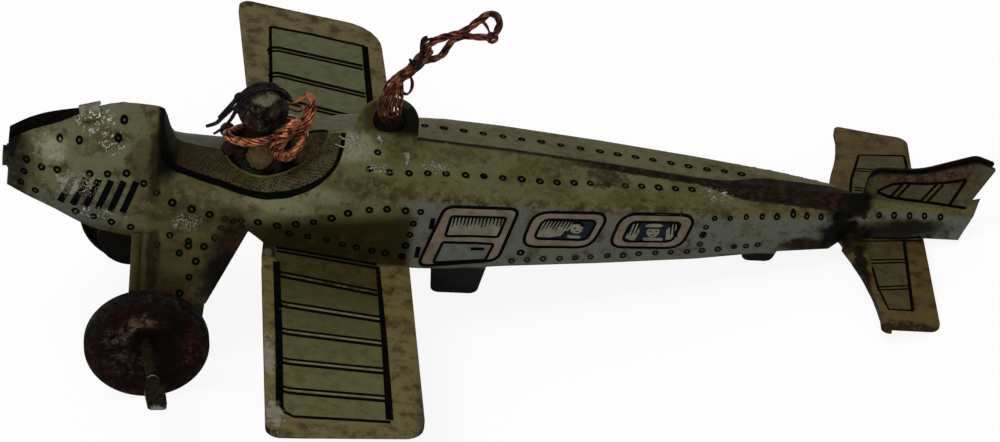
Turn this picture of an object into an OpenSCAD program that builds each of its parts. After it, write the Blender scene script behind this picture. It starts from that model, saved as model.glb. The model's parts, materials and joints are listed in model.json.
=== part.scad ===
// Tin penny toy airplane. Two mirrored lithographed stampings carry wings, legs, tail and lug.
// Shapes are drawn in the flight frame: x runs from nose to tail, y to starboard, z up from the
// lower edge of the body. The stand() transform then sets the toy on its wheels and tail.

/* [Sheet] */
// Thickness of the tinplate
tin = 0.35; // [0.3:0.05:0.45]
// Gap between each half and the centre plane at the seam
seam = 0.02; // [0.01:0.01:0.05]

/* [Body] */
// Foremost point of the nose
nose_x = -2.3; // [-3:0.1:-1.5]
// Place along the body of the rear edge of the raised cowl
cowl_x = 15; // [14:0.1:15.4]
// Height of the cowl above the lower edge
cowl_z = 15; // [14:0.05:16]
// Widest half width of the body, at the trailing edge of the wing
body_half_w = 9; // [8:0.1:10]
// Height of the roof ridge just behind the cockpit
ridge_z = 12.9; // [12.2:0.05:13.5]

/* [Cockpit] */
// Front of the cockpit hole
hole_front = 23.8; // [22.5:0.1:25]
// Widest place of the cockpit hole
hole_mid = 29.6; // [28.5:0.1:31]
// Back of the cockpit hole
hole_back = 36.1; // [35:0.1:37]
// Half width of the cockpit hole
hole_half_w = 3.65; // [3.3:0.05:4]

/* [Wing] */
// Spanwise place of the wing tip on each side
wing_tip_y = 45.2; // [40:0.1:50]
// Leading edge of the wing at the body
wing_lead_x = 28.9; // [28:0.1:30]
// Trailing edge of the wing
wing_trail_x = 46.6; // [44:0.1:47]
// Depth of the lip turned down round the wing
wing_lip = 0.85; // [0.5:0.05:1.2]

/* [Tail] */
// Spanwise place of the tailplane tip on each side
tail_tip_y = 20.6; // [16:0.1:23]
// Trailing edge of the tailplane
tail_trail_x = 110.6; // [109:0.1:112]
// Rear tip of the fin
fin_tip_x = 118.1; // [116:0.1:119]
// Height of the fin's rear tip
fin_tip_z = 11.75; // [11:0.1:13.5]

/* [Wheels] */
// Wheel radius
wheel_r = 7.6; // [7:0.1:8]
// Width of the flange turned inwards round a wheel
wheel_flange = 1.4; // [1:0.1:2]
// Distance of the port wheel's disc from the centre plane
wheel_y = 13.9; // [12.5:0.1:15.5]
// Distance of the starboard wheel's disc, which has slid inwards, from the centre plane
starboard_wheel_y = 13.2; // [12.5:0.1:14]
// Place of the axle along the body
axle_x = 15.3; // [14.5:0.1:15.6]
// Height of the axle, below the body's lower edge
axle_z = -10.1; // [-10.6:0.1:-9.6]
// Radius of the axle wire
axle_r = 0.7; // [0.6:0.05:0.8]
// Radial play of the axle in the legs, and of the wheels on the axle
axle_play = 0.06; // [0.03:0.01:0.1]
// Length of the axle beyond the left wheel
stub = 13.2; // [10:0.1:15]

/* [Lug and wires] */
// Place of the lug's holes along the body
lug_x = 43.1; // [42.8:0.1:43.4]
// Height of the lug's holes
lug_z = 15.5; // [15.3:0.1:15.7]
// Radius of the wide hole in the lug's port ear
port_hole_r = 2.05; // [1.8:0.05:2.1]
// Radius of the hole in the lug's starboard ear
starboard_hole_r = 1.3; // [1.2:0.05:1.5]
// Radius of the copper rope
rope_r = 0.55; // [0.45:0.05:0.6]

/* [Pilot] */
// Radius of the pilot's head
head_r = 3.15; // [2.9:0.05:3.4]
// Place of the pilot along the body
pilot_x = 27.9; // [27.5:0.1:28.2]
// Height of the middle of the head
head_z = 15.5; // [15.2:0.1:15.8]

/* [Hidden] */
$fn = 48;
olive = "#5d6347";
olive_dark = "#4b5040";
rust = "#3a2a22";
copper = "#a05a34";
far = 200;

// One row for each station of the body's half section: place along x, half gap at the ridge,
// height of the ridge, half width and height of the shoulder, half width and height of the
// lower edge, and how far the shoulder is rounded, from 0 to 1.
STATIONS = [
    [nose_x, 1.3, 10.2, 1.95, 7.1, 2.0, 3.95, 0.5],
    [0, 1.4, 11.6, 3.6, 8.3, 2.95, 3.2, 0.75],
    [1.8, 1.4, 12.35, 4.6, 9.1, 3.6, 2.7, 0.8],
    [3.6, 1.25, 12.95, 5.3, 9.8, 4.25, 2.2, 0.85],
    [5.6, 0.7, 13.7, 5.8, 10.4, 4.95, 1.5, 0.85],
    [8.2, seam, 14.55, 6.2, 10.85, 5.55, 0.6, 0.85],
    [11, seam, cowl_z + 0.3, 6.5, 11.1, 6.05, 0.3, 0.85],
    [cowl_x, seam, cowl_z, 6.6, 11.1, 6.4, 0, 0.85],
    [cowl_x + 1.1, seam, cowl_z - 0.35, 6.6, 10.8, 6.3, 0.05, 0.85],
    [cowl_x + 1.9, seam, 12.5, 6.65, 9.3, 6.25, 0.1, 0.8],
    [cowl_x + 2.8, seam, 10.45, 6.75, 8.25, 6.2, 0.2, 0.75],
    [20.5, seam, 9.7, 6.9, 7.95, 6.05, 0.45, 0.7],
    [hole_front, seam, 9.1, 7.1, 7.55, 6.0, 0.95, 0.65],
    [27.1, seam, 8.6, 7.3, 7.2, 6.15, 1.4, 0.6],
    [wing_lead_x, seam, 8.75, 7.5, 7.35, 6.55, 0.15, 0.6],
    [33, seam, 10.7, 7.85, 8.4, 7.3, -0.1, 0.5],
    [36, seam, ridge_z - 0.5, 8.1, 9.6, 7.75, -0.25, 0.42],
    [38, seam, ridge_z, 8.3, 10.15, 8.05, -0.35, 0.36],
    [42, seam, ridge_z - 0.4, 8.6, 10.2, 8.6, -0.6, 0.32],
    [47, seam, ridge_z - 0.9, 8.7, 9.95, body_half_w, -0.9, 0.3],
    [51, seam, 11.6, 8.5, 9.95, 8.6, -1.15, 0.25],
    [58, seam, 10.95, 8.15, 9.4, 7.6, -1.05, 0.2],
    [70, seam, 9.5, 7.5, 8.3, 6.6, -0.7, 0.2],
    [82, seam, 7.85, 6.4, 7.25, 5.35, -0.3, 0.2],
    [92, seam, 7.05, 5.0, 6.5, 4.4, 0.65, 0.25],
    [98.4, seam, 6.65, 4.1, 5.8, 3.6, 0.8, 0.4],
    [100.6, seam, 6.7, 3.0, 5.0, 3.1, 2.45, 0.5],
    [104, seam, 6.9, 1.7, 5.0, 2.95, 2.4, 0.55],
    [110.3, seam, 6.0, 1.3, 4.4, 2.6, 2.25, 0.55],
    [114.2, seam, 6.05, 1.05, 4.4, 2, 1.8, 0.5],
    [118.5, seam, 7.2, 0.9, 4.8, 1.6, 1.6, 0.45]
];
GAP = 1;
RIDGE_Z = 2;
SHOULDER_Y = 3;
SHOULDER_Z = 4;
LOWER_Y = 5;
LOWER_Z = 6;
ROUND = 7;

// Cubic through a column of the stations that never overshoots its neighbours
last_station = len(STATIONS) - 1;
function rise(i, k) = (STATIONS[i + 1][k] - STATIONS[i][k]) / (STATIONS[i + 1][0] - STATIONS[i][0]);
function slope(i, k) =
    i == 0 ? rise(0, k) :
    i == last_station ? rise(last_station - 1, k) :
    rise(i - 1, k) * rise(i, k) <= 0 ? 0 :
    2 * rise(i - 1, k) * rise(i, k) / (rise(i - 1, k) + rise(i, k));
function station_before(x, i = 0) =
    i >= last_station - 1 || x < STATIONS[i + 1][0] ? i : station_before(x, i + 1);
function body(x, k) = let (
        i = station_before(x),
        h = STATIONS[i + 1][0] - STATIONS[i][0],
        t = (x - STATIONS[i][0]) / h
    )
    (2 * t^3 - 3 * t^2 + 1) * STATIONS[i][k] + (t^3 - 2 * t^2 + t) * h * slope(i, k)
    + (3 * t^2 - 2 * t^3) * STATIONS[i + 1][k] + (t^3 - t^2) * h * slope(i + 1, k);

// Points of the half section at x, as [y, z], from the ridge round the shoulder to the lower edge
ARC_STEPS = 6;
function section(x) = let (
        ridge = [body(x, GAP), body(x, RIDGE_Z)],
        shoulder = [body(x, SHOULDER_Y), body(x, SHOULDER_Z)],
        lower = [body(x, LOWER_Y), body(x, LOWER_Z)],
        a = shoulder + (ridge - shoulder) * body(x, ROUND),
        b = shoulder + (lower - shoulder) * body(x, ROUND)
    )
    concat([ridge],
        [for (s = [0 : ARC_STEPS]) let (t = s / ARC_STEPS)
            (1 - t)^2 * a + 2 * t * (1 - t) * shoulder + t^2 * b],
        [lower]);
function unit(v) = v / max(norm(v), 1e-9);

// Outline from rows of [across, up, corner radius]
CORNER_STEPS = 6;
function corner(a, b, c, r) = r == 0 ? [b] : let (
        u = unit(a - b),
        v = unit(c - b),
        half = acos(u * v) / 2,
        centre = b + unit(u + v) * r / sin(half),
        from = b + u * r / tan(half) - centre,
        to = b + v * r / tan(half) - centre
    ) [for (k = [0 : CORNER_STEPS]) centre + r * unit(from + (to - from) * k / CORNER_STEPS)];
function flat(p) = [p[0], p[1]];
function rounded(rows) = let (n = len(rows)) [for (i = [0 : n - 1])
    each corner(flat(rows[(i + n - 1) % n]), flat(rows[i]), flat(rows[(i + 1) % n]), rows[i][2])];
function outward(s, i) = let (d = unit(s[min(i + 1, len(s) - 1)] - s[max(i - 1, 0)])) [-d[1], d[0]];
// The same section one sheet thickness further in; the seam edge stays on its own plane
function inner(s) = [for (i = [0 : len(s) - 1])
    i == 0 ? [s[0][0], s[0][1] - tin / max(0.5, outward(s, 0)[1])] : s[i] - tin * outward(s, i)];

// Stations of the loft: one or two steps between those of the table, fewer along the straight tail
loft_x = concat(
    [for (i = [0 : last_station - 1]) let (n = STATIONS[i][0] < 47 ? 2 : 1)
        for (s = [0 : n - 1]) STATIONS[i][0] + (STATIONS[i + 1][0] - STATIONS[i][0]) * s / n],
    [STATIONS[last_station][0]]);

// Stands the toy on its wheels and on the rear corners of the tailplane
tail_rest = [tail_trail_x - 0.2, 0.9 - tin];
rest_run = tail_rest - [axle_x, axle_z];
pitch = atan2(rest_run[1], rest_run[0]) + asin(wheel_r / norm(rest_run));
bearing_z = 6.8;
bearing_front = nose_x - 0.65;
bearing_wall_r = 1.25;
function stood_x(x, z) = x * cos(pitch) + z * sin(pitch);
function stood_z(x, z) = z * cos(pitch) - x * sin(pitch);
mid_x = (stood_x(bearing_front, bearing_z - bearing_wall_r) + stood_x(fin_tip_x, fin_tip_z)) / 2;
floor_z = stood_z(axle_x, axle_z) - wheel_r;
module stand() { translate([-mid_x, 0, -floor_z]) rotate([0, pitch, 0]) children(); }
echo(pitch = pitch, move = [-mid_x, -floor_z]);
echo(axle = [stood_x(axle_x, axle_z) - mid_x, stood_z(axle_x, axle_z) - floor_z]);
echo(lug = [stood_x(lug_x, lug_z) - mid_x, stood_z(lug_x, lug_z) - floor_z]);
echo(bearing = [stood_x(bearing_front, bearing_z) - mid_x, stood_z(bearing_front, bearing_z) - floor_z]);

// A closed skin between two grids of the same size: rows along x, columns round the section
module skin(outer_grid, inner_grid) {
    rows = len(outer_grid);
    cols = len(outer_grid[0]);
    points = concat([for (r = outer_grid) for (p = r) p], [for (r = inner_grid) for (p = r) p]);
    function o(i, j) = i * cols + j;
    function n(i, j) = rows * cols + i * cols + j;
    faces = concat(
        [for (i = [0 : rows - 2]) for (j = [0 : cols - 2])
            each [[o(i, j), o(i, j + 1), o(i + 1, j + 1)], [o(i, j), o(i + 1, j + 1), o(i + 1, j)]]],
        [for (i = [0 : rows - 2]) for (j = [0 : cols - 2])
            each [[n(i, j), n(i + 1, j + 1), n(i, j + 1)], [n(i, j), n(i + 1, j), n(i + 1, j + 1)]]],
        [for (i = [0 : rows - 2])
            each [[o(i, 0), o(i + 1, 0), n(i + 1, 0)], [o(i, 0), n(i + 1, 0), n(i, 0)]]],
        [for (i = [0 : rows - 2]) let (c = cols - 1)
            each [[o(i, c), n(i + 1, c), o(i + 1, c)], [o(i, c), n(i, c), n(i + 1, c)]]],
        [for (j = [0 : cols - 2])
            each [[o(0, j), n(0, j + 1), o(0, j + 1)], [o(0, j), n(0, j), n(0, j + 1)]]],
        [for (j = [0 : cols - 2]) let (r = rows - 1)
            each [[o(r, j), o(r, j + 1), n(r, j + 1)], [o(r, j), n(r, j + 1), n(r, j)]]]);
    polyhedron(points, faces);
}

// A sheet over a rectangle whose four corner heights differ, cut to a plan outline
// heights: front inner, rear inner, front outer, rear outer
SHEET_STEPS = 6;
module warped_sheet(x, y, heights, depth = tin) {
    function top(u, v) = (1 - v) * ((1 - u) * heights[0] + u * heights[1])
        + v * ((1 - u) * heights[2] + u * heights[3]);
    function at(u, v, drop) = [x[0] + u * (x[1] - x[0]), y[0] + v * (y[1] - y[0]), top(u, v) - drop];
    intersection() {
        skin([for (i = [0 : 1]) [for (j = [0 : SHEET_STEPS]) at(i, j / SHEET_STEPS, 0)]],
            [for (i = [0 : 1]) [for (j = [0 : SHEET_STEPS]) at(i, j / SHEET_STEPS, depth)]]);
        translate([0, 0, -far / 2]) linear_extrude(far) children();
    }
}

// Plan of a wing: straight edges and a slanted tip, with one small and one large corner
// bend: how far the tip lies [aft, outboard] of its place, as each wing is bent its own way
module wing_plan(bend, inset = 0) {
    tip = wing_tip_y + bend[1];
    offset(delta = -inset) polygon(rounded([[wing_lead_x, 6.2, 0], [wing_lead_x - 0.3, 9.2, 1],
        [27.7, tip + 0.1, 1.5], [wing_trail_x + bend[0], tip - 3, 3.4 - 2 * bend[0]],
        [wing_trail_x, 8.9, 0], [36, 6.2, 0]]));
}
module wing(bend) {
    span = [0, wing_tip_y + 5];
    chord = [26, 48];
    corners = [0.3, -0.3, 0.75, -1.4];
    warped_sheet(chord, span, corners) wing_plan(bend);
    // lip turned down along the edges, open at the body
    warped_sheet(chord, span, corners, wing_lip) difference() {
        wing_plan(bend);
        wing_plan(bend, tin);
        square([far, 11]);
    }
}

// Plan of a half tailplane, its leading edge swept back in a curve
// bend: how far it lies [forward, outboard] of its place, and how much its rear corner is raised
module tailplane_plan(bend, inset = 0) {
    root_y = 3.5;
    function sweep(y) = (y - root_y) / (tail_tip_y - root_y);
    function lead(y) = 99.1 + 3.8 * sin(90 * sweep(y)) - bend[0] * min(1, 0.35 + 2 * sweep(y));
    leading_edge = [for (i = [0 : 7]) let (y = root_y + i * (tail_tip_y - root_y) / 8) [lead(y), y, 0]];
    tip = tail_tip_y + bend[1];
    offset(delta = -inset) polygon(rounded(concat(leading_edge, [[102.8 - bend[0], tip + 0.1, 0.8],
        [tail_trail_x + bend[1] / 2, tip - 0.8 + bend[1] / 2, 1.5],
        [tail_trail_x - 0.5, 2.3, 0], [101.2, 2.6, 0]])));
}
tail_span = 22;
tail_corner_z = 0.6;
module tailplane(bend) {
    span = [0, tail_span];
    chord = [98, 111];
    corners = [2.55, 2.6, 2.35, tail_corner_z + bend[2]];
    warped_sheet(chord, span, corners) tailplane_plan(bend);
    // rolled lip along the leading edge
    warped_sheet(chord, span, corners, 0.9) difference() {
        tailplane_plan(bend);
        tailplane_plan(bend, tin);
        translate([104.4, 0]) square(far);
        square([far, 5]);
    }
}

// An upright plate: its outline is given in x and z, its near face stands at y
module upright(y, t = tin) { translate([0, y + t, 0]) rotate([90, 0, 0]) linear_extrude(t) children(); }

// The fin's two sheets lean apart a little towards the top, which dips behind the front corner
module fin() {
    root_z = 5.2;
    lean = 3.5;
    translate([0, 0.1, root_z]) rotate([-lean, 0, 0]) upright(0) translate([0, -root_z])
        polygon(rounded([[102.2, root_z, 0], [102.9, 10.3, 1.7], [109, 10.3, 9], [115.7, 12.65, 2],
            [fin_tip_x, fin_tip_z, 0.2], [115.05, root_z, 0]]));
}

// Half of the lug on the roof: an arched ear that bends up out of the sheet, with a hole for the wire
// hole: [x, z, radius], drop: how much lower the ear stands than the other one
ear_x = 43.15;
ear_r = 3.75;
ear_top = 18.05;
ear_y = 0.15;
roof_back = 5.5;
module ear(hole, drop = 0) {
    base_z = body(ear_x, RIDGE_Z) - 0.9;
    arch_z = ear_top - ear_r - drop;
    difference() {
        union() {
            upright(ear_y) {
                translate([ear_x, arch_z]) circle(ear_r);
                polygon([[ear_x - ear_r - 0.25, base_z + 0.3], [ear_x - ear_r, arch_z],
                    [ear_x + ear_r, arch_z], [ear_x + ear_r + 0.05, base_z]]);
            }
            // the bend between roof and ear
            translate([ear_x, ear_y + tin, body(ear_x, RIDGE_Z)]) rotate([0, roof_back, 0])
                rotate([90, 0, 90]) linear_extrude(2 * ear_r - 1, center = true)
                    polygon(concat([[-tin / 2, -0.3], [-tin / 2, 0.95]],
                        [for (t = [0 : 0.125 : 1]) (1 - t)^2 * [0, 0.95] + 2 * t * (1 - t) * [0, -0.1]
                            + t^2 * [1.2, -0.4]], [[1.2, -0.6]]));
        }
        translate([hole[0], far / 2, hole[1]]) rotate([90, 0, 0]) cylinder(r = hole[2], h = far);
    }
}

// Leg: a splayed plate with a bead down its front edge, and a round foot that carries the axle
leg_top_y = 6.15;
foot_y = 8.8;
foot_bend_z = -7.6;
foot_r = 4.3;
bead_r = 0.55;
splay = atan2(foot_y - leg_top_y, -foot_bend_z);
module leg() {
    // the sloping part hangs from the lower edge of the body
    drop = norm([foot_y - leg_top_y, foot_bend_z]);
    translate([0, leg_top_y, 0]) rotate([splay, 0, 0]) {
        upright(0) polygon([[13, 0.35], [16, 0.9], [20.5, 1.2], [24, 1.6], [27.2, 1.75], [22.4, -drop],
            [13, -drop]]);
        translate([13.6, tin, -drop + 1.4]) cylinder(r = bead_r, h = drop - 0.9);
    }
    // the foot stands square to the axle
    upright(foot_y) intersection() {
        translate([8, foot_bend_z - 12]) square([20, 12.15]);
        union() {
            translate([axle_x - 1.1, axle_z - 0.7]) circle(foot_r);
            polygon(rounded([[11, foot_bend_z + 1, 0], [22.3, foot_bend_z + 1, 0], [22.1, -11.9, 2.4],
                [15.5, -14.6, 0]]));
        }
    }
    // collar raised round the axle hole
    translate([axle_x, foot_y + 1.15, axle_z]) rotate([90, 0, 0]) cylinder(r = axle_r + 0.55, h = 1.5);
}

// Half of the propeller bearing, a tube pressed along the nose
bearing_r = 0.8;
bearing_len = 2.6;
module bearing() {
    translate([bearing_front, 0, bearing_z]) rotate([0, 90, 0])
        cylinder(r = bearing_wall_r, h = bearing_len);
    // webs join the tube to the skin of the nose
    translate([bearing_front + 0.5, 1, bearing_z - tin / 2]) cube([bearing_len - 0.5, 1.25, tin]);
}

// Tab bent down from the lower edge, narrower at its free end
module belly_tab(x, width, y, z, length, lean) {
    corner_r = min(1.1, length / 2);
    end = width / 2 - 0.6;
    translate([x, y, z]) rotate([-lean, 0, 0]) upright(-tin) polygon(rounded([[-width / 2, 0.2, 0],
        [-end, -length, corner_r], [end, -length, corner_r], [width / 2, 0.2, 0]]));
}

// The cockpit hole, rounder at the front than at the back, cut straight down
module cockpit_hole() {
    translate([0, 0, 3]) linear_extrude(20) polygon([for (i = [0 : 47]) let (
            a = i * 7.5,
            reach = cos(a) > 0 ? hole_back - hole_mid : hole_mid - hole_front
        ) [hole_mid + reach * cos(a), hole_half_w * sin(a)]]);
}

// One stamping, drawn on the starboard side
module stamping(ear_hole, ear_drop, wing_bend, tail_bend) {
    sections = [for (x = loft_x) section(x)];
    difference() {
        union() {
            difference() {
                skin([for (i = [0 : len(loft_x) - 1]) [for (p = sections[i]) [loft_x[i], p[0], p[1]]]],
                    [for (i = [0 : len(loft_x) - 1]) [for (p = inner(sections[i])) [loft_x[i], p[0], p[1]]]]);
                cockpit_hole();
                // the tail ends on a bowed slant
                translate([0, 10, 0]) rotate([90, 0, 0]) linear_extrude(20) polygon([[114.3, 0],
                    [114.45, 1.5], [116.25, 4.7], [116.9, 6.7], [117.5, 9], [130, 9], [130, 0]]);
            }
            wing(wing_bend);
            tailplane(tail_bend);
            fin();
            ear(ear_hole, ear_drop);
            leg();
            bearing();
            belly_tab(52.7, 6.8, 8.25, -0.85, 5.85, 20);
            belly_tab(89.7, 4.6, 4.55, 0.8, 2.05, 15);
        }
        translate([bearing_front - 1, 0, bearing_z]) rotate([0, 90, 0])
            cylinder(r = bearing_r, h = bearing_len + 2);
        translate([axle_x, far / 2, axle_z]) rotate([90, 0, 0])
            cylinder(r = axle_r + axle_play, h = far);
        // nothing crosses the centre plane
        translate([-far / 2, seam - far, -far / 2]) cube([2 * far, far, far]);
    }
}

module left_half() {
    color(olive) stand() mirror([0, 1, 0]) stamping([lug_x + 0.2, lug_z - 0.7, port_hole_r], 0,
        [0.25, -0.4], [-0.35, -0.1, 0]);
}

// The starboard half also has the tab that is folded over the port half on top of the nose
tab_x = 5.8;
tab_w = 2.5;
tab_reach = 1.9;
tab_slope = 17;
roof_fall = 32;
module joining_tab() {
    z = body(tab_x, RIDGE_Z) + body(tab_x, GAP) * tan(roof_fall);
    translate([tab_x, 0, z]) rotate([0, -tab_slope, 0]) union() {
        rotate([-roof_fall, 0, 0]) translate([0, -0.1, -0.12]) cube([tab_w, 1.8, tin + 0.1]);
        rotate([roof_fall, 0, 0]) translate([0, -tab_reach, 0.08]) cube([tab_w, tab_reach + 0.1, tin]);
    }
}
module right_half() {
    color(olive_dark) stand() {
        stamping([lug_x, lug_z, starboard_hole_r], 0.7, [-0.9, 0.55], [1.3, 0.6, 0.2]);
        joining_tab();
    }
}

// Axle wire with its ends hammered flat; the long port end is bent a little aft
flat_len = 5.6;
flat_thick = 0.6;
stub_bend = 4.9;
module axle() {
    bend_y = -wheel_y - 1.4;
    right_end = wheel_y + 2.2;
    color(rust) stand() translate([axle_x, 0, axle_z]) {
        translate([0, right_end - 1.2, 0]) rotate([90, 0, 0])
            cylinder(r = axle_r, h = right_end - 1.2 - bend_y);
        translate([0, right_end - 1.3, -flat_thick / 2]) linear_extrude(flat_thick)
            translate([-0.9, 0]) square([1.8, 1.3]);
        // a slight swelling where the wire was bent
        translate([0, bend_y, 0]) sphere(axle_r + 0.05);
        translate([0, bend_y, 0]) rotate([0, 0, stub_bend]) {
            rotate([90, 0, 0]) cylinder(r = axle_r, h = stub - flat_len - 1);
            translate([0, 1.4 - stub, -flat_thick / 2]) linear_extrude(flat_thick)
                polygon(rounded([[axle_r, flat_len, 0], [1.25, flat_len - 2.2, 1], [1.15, 0, 0.6],
                    [-1.15, 0, 0.6], [-1.25, flat_len - 2.2, 1], [-axle_r, flat_len, 0]]));
        }
    }
}

// Pressed wheel: a dished disc with a rolled rim and a collar round the axle hole
module wheel() {
    hole_r = axle_r + axle_play;
    rotate([90, 0, 0]) rotate_extrude($fn = 96) union() {
        // disc, from the hub out over the dish to the raised rim
        polygon([[hole_r, 0], [2.2, 0], [4.9, 0.75], [5.9, 1], [6.4, 1.1], [wheel_r - 0.35, 1.1],
            [wheel_r, 0.75], [wheel_r, 1.1 - wheel_flange], [wheel_r - tin, 1.1 - wheel_flange],
            [wheel_r - tin, 0.6], [wheel_r - 0.55, 1.1 - tin], [6.4, 1.1 - tin], [5.9, 1 - tin],
            [4.9, 0.75 - tin], [2.25, -tin], [hole_r + 0.4, -tin], [hole_r + 0.4, -1], [hole_r, -1]]);
    }
}
module left_wheel() { color(rust) stand() translate([axle_x, -wheel_y, axle_z]) wheel(); }
module right_wheel() {
    color(rust) stand() translate([axle_x, starboard_wheel_y, axle_z]) mirror([0, 1, 0]) wheel();
}

// Pilot: hollow head, neck and shoulders pressed in two halves
shoulder_r = 2.9;
pilot_floor = 6;
module pilot_profile(inset) {
    neck_r = 1.7;
    intersection() {
        union() {
            translate([0, head_z]) circle(head_r - inset);
            translate([0, 9.4]) circle(shoulder_r - inset);
            translate([0, 8]) square([neck_r - inset, 6]);
            translate([0, pilot_floor - inset]) square([shoulder_r - inset, 3.4 + inset]);
        }
        translate([0, pilot_floor - inset]) square([10, 20]);
    }
}
module pilot_shell() {
    tab_y = body(pilot_x, SHOULDER_Y) - tin - 1.25;
    difference() {
        union() {
            translate([pilot_x, 0, 0]) rotate_extrude() pilot_profile(0);
            // goggles and nose stand proud of the face
            for (side = [-1, 1])
                translate([pilot_x - head_r + 0.35, side * 1.05, head_z + 0.45]) sphere(0.75, $fn = 24);
            translate([pilot_x - head_r + 0.05, 0, head_z - 0.45]) sphere(0.5, $fn = 24);
            // upper arm, forearm and fist, pressed out of the side
            translate([pilot_x + 0.1, 1.75, 9.9]) sphere(1.7, $fn = 32);
            translate([pilot_x - 3.85, 1.9, 10.65]) {
                sphere(0.95, $fn = 32);
                rotate([0, 106.4, 0]) cylinder(h = 2.6, r = 0.6, $fn = 24);
            }
            // seat tab soldered inside the body
            translate([pilot_x - 1.3, 0, pilot_floor]) cube([2.6, tab_y, tin]);
        }
        translate([pilot_x, 0, 0]) rotate_extrude() pilot_profile(tin);
        translate([-far / 2, seam - far, -far / 2]) cube([2 * far, far, far]);
    }
}
module pilot_right_shell() { color(rust) stand() pilot_shell(); }
module pilot_left_shell() { color(rust) stand() mirror([0, 1, 0]) pilot_shell(); }

// A round tube swept along a route of points
function along(route, i) = unit(route[min(i + 1, len(route) - 1)] - route[max(i - 1, 0)]);
function lay_flat(v, d) = unit(v - d * (v * d));
function frames(route, i = 0, side = undef) = i >= len(route) ? [] : let (
        d = along(route, i),
        start = is_undef(side) ? (abs(d[2]) < 0.9 ? [0, 0, 1] : [0, 1, 0]) : side,
        s = lay_flat(start, d)
    ) concat([[s, cross(d, s)]], frames(route, i + 1, s));
// wide: for each point, how much wider the tube is [in the route's plane, across it]
module tube(route, r, sides = 6, wide = []) {
    f = frames(route);
    n = len(route);
    function w(i) = len(wide) == 0 ? [1, 1] : wide[i];
    points = [for (i = [0 : n - 1]) for (k = [0 : sides - 1]) let (a = 360 * k / sides)
        route[i] + r * (w(i)[0] * f[i][0] * cos(a) + w(i)[1] * f[i][1] * sin(a))];
    walls = [for (i = [0 : n - 2]) for (k = [0 : sides - 1]) let (
            a = i * sides + k,
            b = i * sides + (k + 1) % sides
        ) each [[a, a + sides, b + sides], [a, b + sides, b]]];
    caps = concat([for (k = [1 : sides - 2]) [0, k, k + 1]],
        [for (k = [1 : sides - 2]) [(n - 1) * sides, (n - 1) * sides + k + 1, (n - 1) * sides + k]]);
    polyhedron(points, concat(walls, caps));
}
// Rounds a hand-chosen route: a smooth curve through its points
function smooth(p, steps = 3) = concat([for (i = [0 : len(p) - 2]) for (s = [0 : steps - 1]) let (
        t = s / steps,
        a = p[max(i - 1, 0)],
        b = p[i],
        c = p[i + 1],
        d = p[min(i + 2, len(p) - 1)]
    ) 0.5 * (2 * b + (c - a) * t + (2 * a - 5 * b + 4 * c - d) * t^2 + (3 * b - a - 3 * c + d) * t^3)],
    [p[len(p) - 1]]);

// Copper rope round the pilot's neck, knotted on the port side with one end standing up
NECK_ROUTE = [[32, -1.6, 18.4], [31.9, -2.2, 16.4], [31.3, -2.7, 14.4], [29, -3.3, 13.2], [26.4, -3.2, 12.6],
    [24.1, -1.8, 12.7], [23.3, 0, 13.3], [24, 1.8, 13.6], [26.4, 2.9, 13.2], [29.2, 2.8, 13],
    [31.6, 1.2, 13.6], [32.6, -0.9, 14.8], [32.7, -2.9, 15.6], [31.9, -4.2, 14.8], [31.4, -4.4, 13],
    [30.6, -4.2, 11.6], [29.4, -4.1, 11.6]];
module neck_wire() { color(copper) stand() tube(smooth(NECK_ROUTE), rope_r); }

// Thin dark wire over the head, its two ends standing off in front
HEAD_ROUTE = [[21.3, -1, 12.6], [22.9, -1.6, 14.6], [24.4, -1.9, 16.8], [26, -1.6, 18.3], [28, -0.9, 18.95],
    [29.9, 0, 18.35], [31.2, 0.6, 17], [32, 0.4, 15.8]];
HEAD_END = [[22.4, -1.2, 11.2], [23.2, -2, 13], [24, -2.3, 15], [24.9, -2, 17], [26, -1.6, 18.3]];
module head_wire() {
    color(rust) stand() {
        tube(smooth(HEAD_ROUTE), 0.25);
        tube(smooth(HEAD_END), 0.2);
    }
}

// Copper rope through the lug: a ring about both ears whose strands spread outside the holes, a
// thick twisted rope, and a thinner one that leaves it, crosses itself and comes back as a loop
RING_ROUTE = [for (p = [[0, 0, 0], [0, 1.1, 0], [0.1, 1.6, 0.6], [0.1, 1.7, 2.2], [0.2, 1.2, 3.9],
    [0.5, 0, 4.7], [0.2, -1.2, 3.9], [0.1, -1.7, 2.2], [0.1, -1.6, 0.6], [0, -1.1, 0], [0, 0, 0]])
    p + [lug_x, 0, lug_z]];
ring = smooth(RING_ROUTE);
spread = [for (p = ring) [1, 1 + 1.1 * sin(180 * min(1, max(0, (p[2] - lug_z) / 4.7)))]];
ROPE_ROUTE = [[lug_x + 0.4, 0, lug_z + 4.5], [44, 0, 20.8], [45.1, 0, 21.9], [46, 0, 23.2], [46.7, 0, 24.3]];
thick_rope_r = 0.88;
fork = ROPE_ROUTE[4];
LOOP_ROUTE = [[46.6, -0.45, 24.45], [46.75, -0.6, 25.85], [47.75, -0.7, 26.95], [49.35, -0.75, 27.65],
    [50.75, -0.75, 28.15], [51.55, -0.65, 28.9], [52.7, -0.45, 29.95], [53.75, -0.1, 30.55],
    [54.7, 0.15, 30.25], [55.2, 0.3, 29.2], [55.1, 0.5, 27.95], [54.8, 0.65, 27.05],
    [54.05, 0.75, 26.65], [52.7, 0.8, 26.65], [51.5, 0.85, 26.7], [50.4, 0.85, 26.35],
    [49.6, 0.8, 25.35], [48.95, 0.7, 24.05], [47.9, 0.6, 23.35], [46.95, 0.45, 23.25]];
loop = smooth(LOOP_ROUTE);
loop_r = 0.5;
taper = [for (i = [0 : len(loop) - 1]) let (w = min(1, 0.8 + 0.07 * min(i, len(loop) - 1 - i))) [w, w]];
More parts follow.
